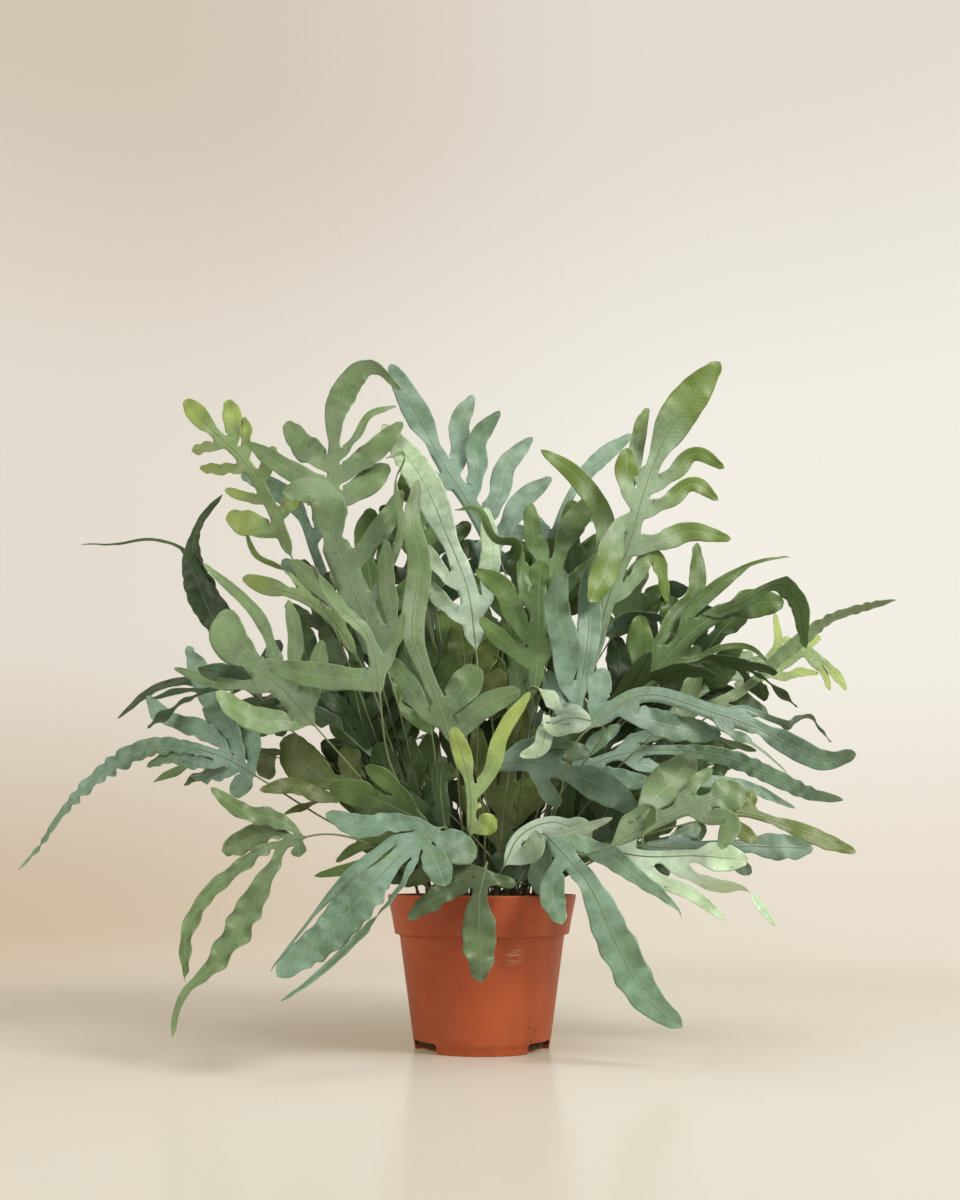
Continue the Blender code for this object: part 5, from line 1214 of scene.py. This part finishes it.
def soilFinish(name, dark, light):
    make = Finish(name, Specular_IOR_Level=0.2)
    place = make.place()
    lump = make.noise(place, 160.0, 4.0, 0.7)
    fleck = make.noise(place, 520.0, 2.0).step(0.62, 0.68)
    colour = make.mix(lump.step(0.3, 0.7), dark, light)
    colour = make.mix(fleck * 0.5, colour, (0.16, 0.10, 0.055))
    return make.feed(Base_Color=colour, Roughness=0.85 + lump * 0.12, Normal=make.bump(lump, 0.8, 0.002))


leafFinishes = {name: leafFinish(name) for name in leafColours}
stalkFinish = stalkMaterial()
soilFinishes = [soilFinish("potting mix", (0.016, 0.010, 0.006), (0.075, 0.045, 0.026)),
                soilFinish("bark crumbs", (0.030, 0.018, 0.010), (0.120, 0.072, 0.038))]
rootFinish = Finish("root", Base_Color=(0.070, 0.040, 0.022, 1.0), Roughness=0.8).material
print("finishes made")


def arc(centre, radius, start, stop, count):
    angles = [math.radians(start + (stop - start) * i / count) for i in range(count + 1)]
    return [(centre[0] + radius * math.cos(a), centre[1] + radius * math.sin(a)) for a in angles]


def turned(name, profile, turns):
    mesh = bpy.data.meshes.new(name)
    mesh.from_pydata([(r, 0.0, z) for r, z in profile], [(i, i + 1) for i in range(len(profile) - 1)], [])
    made = linked(name, mesh)
    screw = made.modifiers.new("turn", "SCREW")
    screw.steps = screw.render_steps = turns
    screw.use_merge_vertices = True
    screw.merge_threshold = 0.00001
    screw.use_normal_calculate = True
    return made


def notchAngle(number):
    # Where a notch of the foot stands, in degrees from +X towards the back.
    return -90 + 180 / pot["notches"] + 360 / pot["notches"] * number


def buildPot():
    # One outline is turned: up the outside, over the rim, down the inside and over the floor.
    wall, ground, ridgeZ = pot["wall"], pot["floor"], pot["ridgeZ"]
    lip = wall / 2
    foot, footStep, step, body = pot["footRadius"], pot["footStepZ"], pot["stepZ"], pot["bodyRadius"]
    collar, bottom = pot["collarRadius"], pot["collarBottom"]
    rimRadius, tall = pot["rimRadius"], pot["height"]
    low = outerRadius(footStep)
    slope = (rimRadius - collar) / (tall - lip - bottom)
    ridge = collar + slope * (ridgeZ - bottom)
    outside = [(0.0, 0.0), (foot - 0.0022, 0.0)] + arc((foot - 0.0012, 0.0012), 0.0012, -90, 0, 5)
    outside += [(low - 0.0001, footStep - 0.0006), (low + 0.0004, footStep + 0.0002),
                (low + 0.0005, footStep + 0.0012), (body - 0.0003, step - 0.0015), (body, step - 0.0002)]
    shoulder = [(body + 0.0008, step + 0.0001), (body + 0.0022, step + 0.0006)]
    shoulder += arc((collar - 0.0030, bottom - 0.0042), 0.0022, -55, 0, 6)
    side = [(collar, bottom), (ridge - 0.0001, ridgeZ - 0.0007), (ridge + pot["ridge"], ridgeZ),
            (ridge, ridgeZ + 0.0009)]
    top = [(rimRadius - 0.0004, tall - 0.0042), (rimRadius, tall - lip - 0.0006)]
    top += arc((rimRadius - lip, tall - lip), lip, 0, 180, 10)
    inside = [(collar - wall, bottom), (body - wall, step + 0.0015), (low - wall, ground + 0.004),
              (low - wall - 0.0012, ground + 0.0010), (low - wall - 0.004, ground), (0.0, ground)]
    made = turned("pot turned", outside + shoulder + side + top + inside, pot["turns"])
    cutters = []
    for i in range(pot["notches"]):
        turn = math.radians(notchAngle(i))
        shape = bmesh.new()
        place = Matrix.Rotation(turn, 4, "Z") @ Matrix.Translation((foot + 0.004, 0.0, 0.0))
        size = Matrix.Diagonal((0.030, 2 * pot["notchHalfWidth"], 2 * pot["notchHeight"], 1.0))
        bmesh.ops.create_cube(shape, size=1.0, matrix=place @ size)
        sides = [e for e in shape.edges if abs((e.verts[0].co - e.verts[1].co).z) < 1e-6
                 and min(v.co.z for v in e.verts) > 0]
        bmesh.ops.bevel(shape, geom=sides, offset=0.0028, segments=4, profile=0.5, affect="EDGES")
        mesh = bpy.data.meshes.new("notch")
        shape.to_mesh(mesh)
        shape.free()
        cutters.append(linked(f"notch {i}", mesh))
        cut = made.modifiers.new("notch", "BOOLEAN")
        cut.operation, cut.solver, cut.object = "DIFFERENCE", "EXACT", cutters[-1]
    piece = settledMesh(made, "nurseryPot")
    for cutter in cutters:
        bpy.data.objects.remove(cutter, do_unlink=True)
    coated(piece, potFinish())
    piece.data.set_sharp_from_angle(angle=math.radians(38))
    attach(piece, "root")
    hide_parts("pot")
    return piece


def buildSoil():
    # A closed body of soil with a lumpy top.
    bottom = pot["floor"] + 0.0003
    low = outerRadius(pot["footStepZ"]) - pot["wall"] - 0.0006
    profile = [(0.0, bottom), (low - 0.0045, bottom), (low, bottom + 0.0045)]
    heights = (pot["stepZ"] + 0.0015, pot["collarBottom"], soil["edgeZ"])
    profile += [(innerRadius(z) - soil["sideGap"], z) for z in heights]
    edge = innerRadius(soil["edgeZ"]) - soil["sideGap"]
    rings = [edge * (1 - i / soil["rings"]) for i in range(1, soil["rings"] + 1)]
    profile += [(radius, soilHeight(radius)) for radius in rings]
    piece = settledMesh(turned("soil turned", profile, soil["turns"]), "pottingSoil")
    draw = random.Random(11)
    for v in piece.data.vertices:
        radius = math.hypot(v.co.x, v.co.y)
        if v.co.z > soil["edgeZ"] - 0.0005 and radius < edge - 0.0005:
            lump = noise.fractal(v.co * 120.0, 1.0, 2.0, 4) * soil["grain"]
            v.co.z += lump + draw.uniform(-0.3, 0.3) * mm
    coated(piece, soilFinishes[0])
    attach(piece, "root")
    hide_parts("soil")
    return piece


def buildCrumbs(ground):
    # Crumbs of bark and peat, strewn on the soil's upper side.
    mesh = ground.data.copy()
    low = bmesh.new()
    low.from_mesh(mesh)
    sides = [f for f in low.faces if f.calc_center_median().z < soil["edgeZ"] - 0.0005 or f.normal.z < 0.5]
    bmesh.ops.delete(low, geom=sides, context="FACES")
    low.to_mesh(mesh)
    low.free()
    tree = Growth("crumbs", density=soil["crumbs"], small=soil["crumbSmall"], large=soil["crumbLarge"])
    points = tree.node("GeometryNodeDistributePointsOnFaces", {"distribute_method": "RANDOM"},
                       {0: tree.given.outputs[0], 4: tree.size("density"), 6: 5})
    grain = tree.node("GeometryNodeMeshIcoSphere", None, {0: 1.0, 1: 1})
    size = tree.random("FLOAT", tree.size("small"), tree.size("large"), 3)
    shape = tree.random("FLOAT_VECTOR", (0.7, 0.45, 0.30), (1.3, 0.9, 0.7), 4)
    scale = tree.node("ShaderNodeVectorMath", {"operation": "SCALE"}, {0: shape, 3: size})
    turn = tree.random("FLOAT_VECTOR", (0.0, 0.0, 0.0), (6.283, 6.283, 6.283), 9)
    turn = tree.node("FunctionNodeEulerToRotation", None, {0: turn})
    tree.last = tree.node("GeometryNodeInstanceOnPoints", None, {0: points, 2: grain, 5: turn, 6: scale})
    piece = tree.grown(mesh, "soilCrumbs", soilFinishes[1])
    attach(piece, "root")
    return piece


# Spread is degrees to either side of a notch, and thick and thin are half a root's thickness.
rootlets = {
    "count": 6, "spread": 15.0, "bends": 5, "thick": 0.00055, "thin": 0.00025, "step": 0.0015, "sides": 6,
}


def buildRoots():
    # Thin roots that show at the notches of the foot.
    draw = random.Random(21)
    low = outerRadius(pot["footStepZ"]) - pot["wall"]
    strands = []
    for i in range(pot["notches"]):
        for _ in range(rootlets["count"]):
            turn = math.radians(notchAngle(i) + draw.uniform(-rootlets["spread"], rootlets["spread"]))
            points = []
            for _ in range(rootlets["bends"]):
                turn += math.radians(draw.uniform(-5, 7))
                reach = low - draw.uniform(0.0006, 0.0024)
                height = draw.uniform(0.0035, 0.0085)
                points.append(Vector((reach * math.cos(turn), reach * math.sin(turn), height)))
            path = Course(points)
            stops = [(0.0, rootlets["thick"]), (path.length, rootlets["thin"])]
            strands.append(strand(path, stops, rootlets["step"]))
    piece = buildStrands(strands, "fineRoots", rootFinish, rootlets["sides"])


buildPot()
buildCrumbs(buildSoil())
buildRoots()
print("pot and soil built")

# Fronds of the plant's inside, which fill the spaces between the others:
# (leaf, depth, base of the blade, its tip, bend to the side, lobes, length of a lobe, width)
# Most have the dark finish, partly painted shade, where they fill the plant's shaded inside.
innerFronds = [
    ("dark", 30, (374, 706), (350, 590), -8, 4, 58, 24), ("dark", 45, (334, 722), (300, 622), -6, 4, 50, 24),
    ("green", 25, (404, 742), (394, 598), 8, 5, 52, 24), ("green", 35, (440, 730), (446, 606), 6, 4, 52, 26),
    ("dark", 10, (398, 824), (352, 690), -8, 5, 60, 26), ("green", 0, (424, 842), (404, 700), -6, 5, 58, 26),
    ("green", 50, (388, 640), (370, 508), -10, 4, 48, 24), ("dark", 20, (458, 806), (472, 690), 6, 4, 54, 24),
    ("dark", 30, (518, 796), (506, 664), -6, 4, 54, 26), ("green", 35, (560, 806), (562, 676), 6, 4, 56, 26),
    ("dark", 30, (598, 764), (618, 636), 8, 4, 52, 24), ("dark", 20, (640, 792), (694, 716), -8, 4, 50, 24),
    ("dark", 0, (618, 852), (706, 826), 6, 4, 44, 22), ("dark", 45, (680, 704), (748, 604), -8, 5, 52, 22),
    ("green", 70, (500, 644), (520, 540), 6, 4, 48, 22), ("green", 80, (560, 610), (572, 500), 6, 4, 46, 22),
    ("green", 75, (436, 606), (442, 496), -6, 4, 48, 22), ("green", 70, (430, 690), (420, 588), 4, 5, 56, 26),
    ("dark", -10, (482, 868), (468, 782), -4, 4, 44, 22), ("dark", 0, (522, 868), (534, 782), 4, 4, 46, 22),
    ("dark", 0, (588, 846), (622, 752), 6, 4, 50, 24), ("green", 55, (648, 690), (672, 596), 8, 4, 46, 22),
    ("dark", 65, (344, 646), (300, 560), -6, 4, 46, 22), ("green", 60, (420, 560), (404, 470), 4, 4, 44, 20),
    ("green", 60, (610, 640), (640, 560), 6, 4, 44, 20), ("green", 90, (470, 720), (476, 600), 4, 5, 60, 28),
    ("dark", 95, (560, 720), (556, 596), -4, 5, 60, 28), ("dark", 90, (400, 720), (384, 610), -4, 5, 58, 26),
    ("dark", 60, (660, 790), (720, 740), 6, 4, 46, 22), ("dark", 95, (640, 740), (660, 640), 6, 5, 56, 26),
    ("dark", -52, (450, 884), (436, 822), -4, 3, 34, 22), ("dark", -50, (484, 886), (490, 820), 4, 3, 34, 22),
    ("dark", -52, (518, 884), (534, 822), 4, 3, 34, 22), ("dark", -20, (420, 882), (398, 820), -4, 3, 36, 22),
    ("dark", -20, (546, 882), (570, 822), 4, 3, 36, 22), ("dark", 20, (500, 884), (512, 812), 4, 3, 40, 24),
    ("dark", 20, (452, 884), (446, 812), 4, 3, 40, 24), ("olive", -12, (466, 730), (458, 622), 4, 4, 50, 28),
    ("green", -8, (432, 736), (424, 640), -4, 4, 48, 26), ("green", -6, (516, 716), (508, 622), 4, 4, 46, 24),
    ("dark", 10, (372, 752), (352, 660), -4, 4, 48, 26),
]


# How many drawings and which depths each is tried at, and how far out and how deep its stalk stands
inner = {"tries": 6, "pushes": range(-16, 49, 8), "rootReach": 0.062, "rootDepth": 0.004}


def innerPlan(row, draw):
    # A frond laid out in the picture by rule: a bent course with lobes to both sides in turn.
    tone, depth, base, tip, bend, count, size, width = row
    away = Vector((tip[0] - base[0], tip[1] - base[1]))
    length = away.length
    on = away / length
    out = Vector((-on.y, on.x))
    path = [Vector(base) + away * t + out * (bend * 4 * t * (1 - t)) for t in (0.0, 0.33, 0.66, 1.0)]
    lobes = []
    for i in range(count):
        station = 0.25 + 1.7 * i / count + draw.uniform(-0.1, 0.1)
        foot = path[int(station)].lerp(path[int(station) + 1], station - int(station))
        side = 1 if i % 2 else -1
        lean = math.radians(draw.uniform(32, 58)) * side
        aim = Vector((on.x * math.cos(lean) - on.y * math.sin(lean),
                      on.x * math.sin(lean) + on.y * math.cos(lean)))
        spot = foot + aim * (size * draw.uniform(0.8, 1.1) * (1.1 - 0.14 * station))
        wide, twist = width * draw.uniform(0.8, 1.0), draw.uniform(-0.08, 0.08)
        lobes.append(lobe(station, wide, tuple(spot), twist=twist))
    face = (draw.uniform(-25, 25), draw.uniform(4, 26))
    return frond("", tone, depth, face, width * 1.15, [tuple(p) for p in path], lobes, web=7.0)


def ribbons(path, skeleton):
    # A rough outline of a frond, for telling what it crosses.
    points, faces = [], []
    courses = [(skeleton["blade"], skeleton["width"] / 2)]
    courses += [([path.at(path.station(3 + item[0]))] + item[4], item[2] / 2) for item in skeleton["lobes"]]
    for course, half in courses:
        line = Course(course, steps=3).points
        across = skeleton["normal"].cross(line[-1] - line[0]).normalized() * half
        for a, b in zip(line, line[1:]):
            faces.append(tuple(range(len(points), len(points) + 4)))
            points += [a + across, a - across, b - across, b + across]
    return BVHTree.FromPolygons(points, faces)


def innerRoots(taken, count):
    # Places in the soil for the inner fronds' stalks, clear of those that already stand there.
    draw = random.Random(4)
    free = []
    while len(free) < count:
        spots = [Vector((draw.uniform(-0.06, 0.06), draw.uniform(-0.055, 0.06))) for _ in range(60)]
        free.append(max(spots, key=lambda p: min((p - q).length for q in taken + free)
                        - max(p.length - inner["rootReach"], 0.0) * 9))
    return free


def buildInner(taken):
    # Each inner frond is drawn a few times at several depths, and the one that crosses the least is kept.
    points, faces = [], []
    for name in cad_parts:
        first = len(points)
        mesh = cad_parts[name].data
        points += [v.co.copy() for v in mesh.vertices]
        faces += [tuple(first + k for k in p.vertices) for p in mesh.polygons]
    solids = BVHTree.FromPolygons(points, faces)
    placed, strands = [], []
    free = innerRoots(taken, len(innerFronds))
    for i, row in enumerate(innerFronds):
        name = f"frond_inner_{i + 1:02d}"
        aim = atDepth(row[2], row[1])
        spot = min(free, key=lambda p: (p - aim.xy * 0.4).length)
        free.remove(spot)
        root = Vector((spot.x, spot.y, soilHeight(spot.length) - inner["rootDepth"]))
        tries = []
        for seed in range(inner["tries"]):
            plan = innerPlan(row, random.Random(f"{name} {seed}"))
            for push in inner["pushes"]:
                state = random.Random(name)
                skeleton = frontSkeleton(plan, push, 0, [0.0] * len(plan["lobes"]), state)
                path = Course(stalkPoints(root, skeleton), 3)
                tree = ribbons(path, skeleton)
                met = len(tree.overlap(solids)) + 2 * sum(len(tree.overlap(other)) for other in placed)
                tries.append((met, abs(push), len(tries), skeleton, state, tree))
        skeleton, state, tree = min(tries, key=lambda item: item[:3])[3:]
        placed.append(tree)
        _, course = buildLeaf(name, row[0], root, skeleton, state)
        strands.append(course)
    return strands


plans = frontFronds + [{"name": f"frond_back_{i + 1:02d}", "leaf": rule[4], "rule": rule}
                       for i, rule in enumerate(backFronds)]
strands, taken = [], []
for plan in plans:
    root, skeleton, draw = settled(plan)
    piece, course = buildLeaf(plan["name"], plan["leaf"], root, skeleton, draw)
    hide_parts(plan["name"])
    strands.append(course)
    taken.append(root.xy)
print("fronds grown:", len(plans))
strands += buildInner(taken)
stalks = buildStrands(strands, "wiryStalks", stalkFinish, leaf["stalkSides"])
print("inner fronds and stalks grown:", len(innerFronds))


studio = {
    "floor": (0.42, 0.435, 0.405), "floorPatch": (0.45, 0.465, 0.445), "paintedFloorLight": (0.190, 0.120, 0.045),
    "sheen": 0.5,
    "reach": 2.6,              # how far the floor reaches, and how high its edge curves up into the wall
    "cove": 0.9,
    "wallTop": 4.5,
    "turns": 96,
    "far": (0.50, 1.55),       # where the floor begins to take on the wall's glow, and where it has all of it
    "sky": 0.22,
    # The wall's glow from left to right, near the floor, half way up and at the top: painted light, lighter
    # to the right on the key light's side, with painted shade near the floor and at the top
    "low": ((0.610, 0.485, 0.345), (0.810, 0.730, 0.610)),
    "middle": ((0.770, 0.715, 0.620), (0.895, 0.860, 0.775)),
    "high": ((0.640, 0.555, 0.455), (0.765, 0.715, 0.630)),
}
# Each softbox: where it stands, what it aims at, its width and height, its power and its colour
lights = {
    "key": ((2.5, -1.7, 2.6), (0.0, 0.0, 0.30), 1.5, 158.0, (1.0, 0.975, 0.94)),
    "fill": ((-2.2, -2.0, 1.6), (0.0, 0.0, 0.35), 1.8, 40.0, (0.98, 0.99, 1.0)),
    "top": ((0.2, 0.3, 2.7), (0.0, 0.1, 0.2), 1.6, 26.0, (1.0, 0.99, 0.97)),
}


# The wall's glow: painted light, lighter to the right, with painted shade near the floor and at the top
def paintedWallLight(make, place):
    side, high = make.axis(place, "X"), make.axis(place, "Z")
    share = side.step(-1.75, 1.15)
    low, middle, top = (make.mix(share, *studio[name]) for name in ("low", "middle", "high"))
    tone = make.mix(high.step(-0.1, 1.15), low, middle)
    return make.mix(high.step(1.7, 3.7), tone, top)


def buildStage():
    # A round paper floor, and beyond it a wall of paper that glows with painted light and shade and lights
    # nothing.
    # Far from the plant the floor takes on the wall's glow, so that no edge shows between them.
    reach, cove, black = studio["reach"], studio["cove"], (0.0, 0.0, 0.0)
    disc = turned("floor turned", [(0.0, 0.0), (0.4, 0.0), (reach, 0.0)], studio["turns"])
    floor = settledMesh(disc, "studioFloor")
    paper = Finish("studio paper", Specular_IOR_Level=0.0, Coat_Roughness=0.22, Emission_Strength=1.0)
    place = paper.place()
    patch = paper.noise(place, 2.0, 2.0)
    away = paper.node("ShaderNodeVectorMath", {"operation": "LENGTH"}, {0: place}, "Value")
    far = away.step(*studio["far"])
    colour = paper.mix(far, paper.mix(patch, studio["floor"], studio["floorPatch"]), black)
    # Near the plant the floor glows warm, painted light that lifts the shadows on it; far off it takes on the
    # wall's painted light.
    glow = paper.mix(far, studio["paintedFloorLight"], paintedWallLight(paper, place))
    sheen, gloss = (1.0 - far) * studio["sheen"], 0.45 + patch * 0.1
    coated(floor, paper.feed(Base_Color=colour, Emission_Color=glow, Roughness=gloss, Coat_Weight=sheen))
    profile = [(reach, -0.001)] + arc((reach, cove), cove, -88, 0, 16) + [(reach + cove, studio["wallTop"])]
    wall = settledMesh(turned("wall turned", profile, studio["turns"]), "studioWall")
    paint = Finish("studio wall", Base_Color=(*black, 1.0), Specular_IOR_Level=0.0, Emission_Strength=1.0)
    coated(wall, paint.feed(Emission_Color=paintedWallLight(paint, paint.place())))
    wall.visible_diffuse = wall.visible_shadow = False


def softbox(name, place, aim, size, power, colour):
    light = bpy.data.lights.new(name, "AREA")
    light.shape = "SQUARE"
    light.size = size
    light.energy = power
    light.color = colour
    made = linked(name, light)
    made.location = place
    made.rotation_mode = "QUATERNION"
    made.rotation_quaternion = (Vector(aim) - Vector(place)).to_track_quat("-Z", "Y")
    made.visible_camera = False


buildStage()
for name, values in lights.items():
    softbox(name, *values)

scene = bpy.context.scene
world = bpy.data.worlds.new("studio")
scene.world = world
world.use_nodes = True
background = world.node_tree.nodes["Background"]
background.inputs["Color"].default_value = (1.0, 0.96, 0.90, 1.0)
background.inputs["Strength"].default_value = studio["sky"]
scene.view_settings.view_transform = "Standard"

lens = bpy.data.cameras.new("camera")
lens.lens = camera["lens"]
lens.sensor_width = camera["sensor"]
shot = linked("camera", lens)
shot.location = eye
shot.rotation_euler = (math.radians(90) + camera["tilt"], 0.0, 0.0)
scene.camera = shot
print("stage, light and camera set")
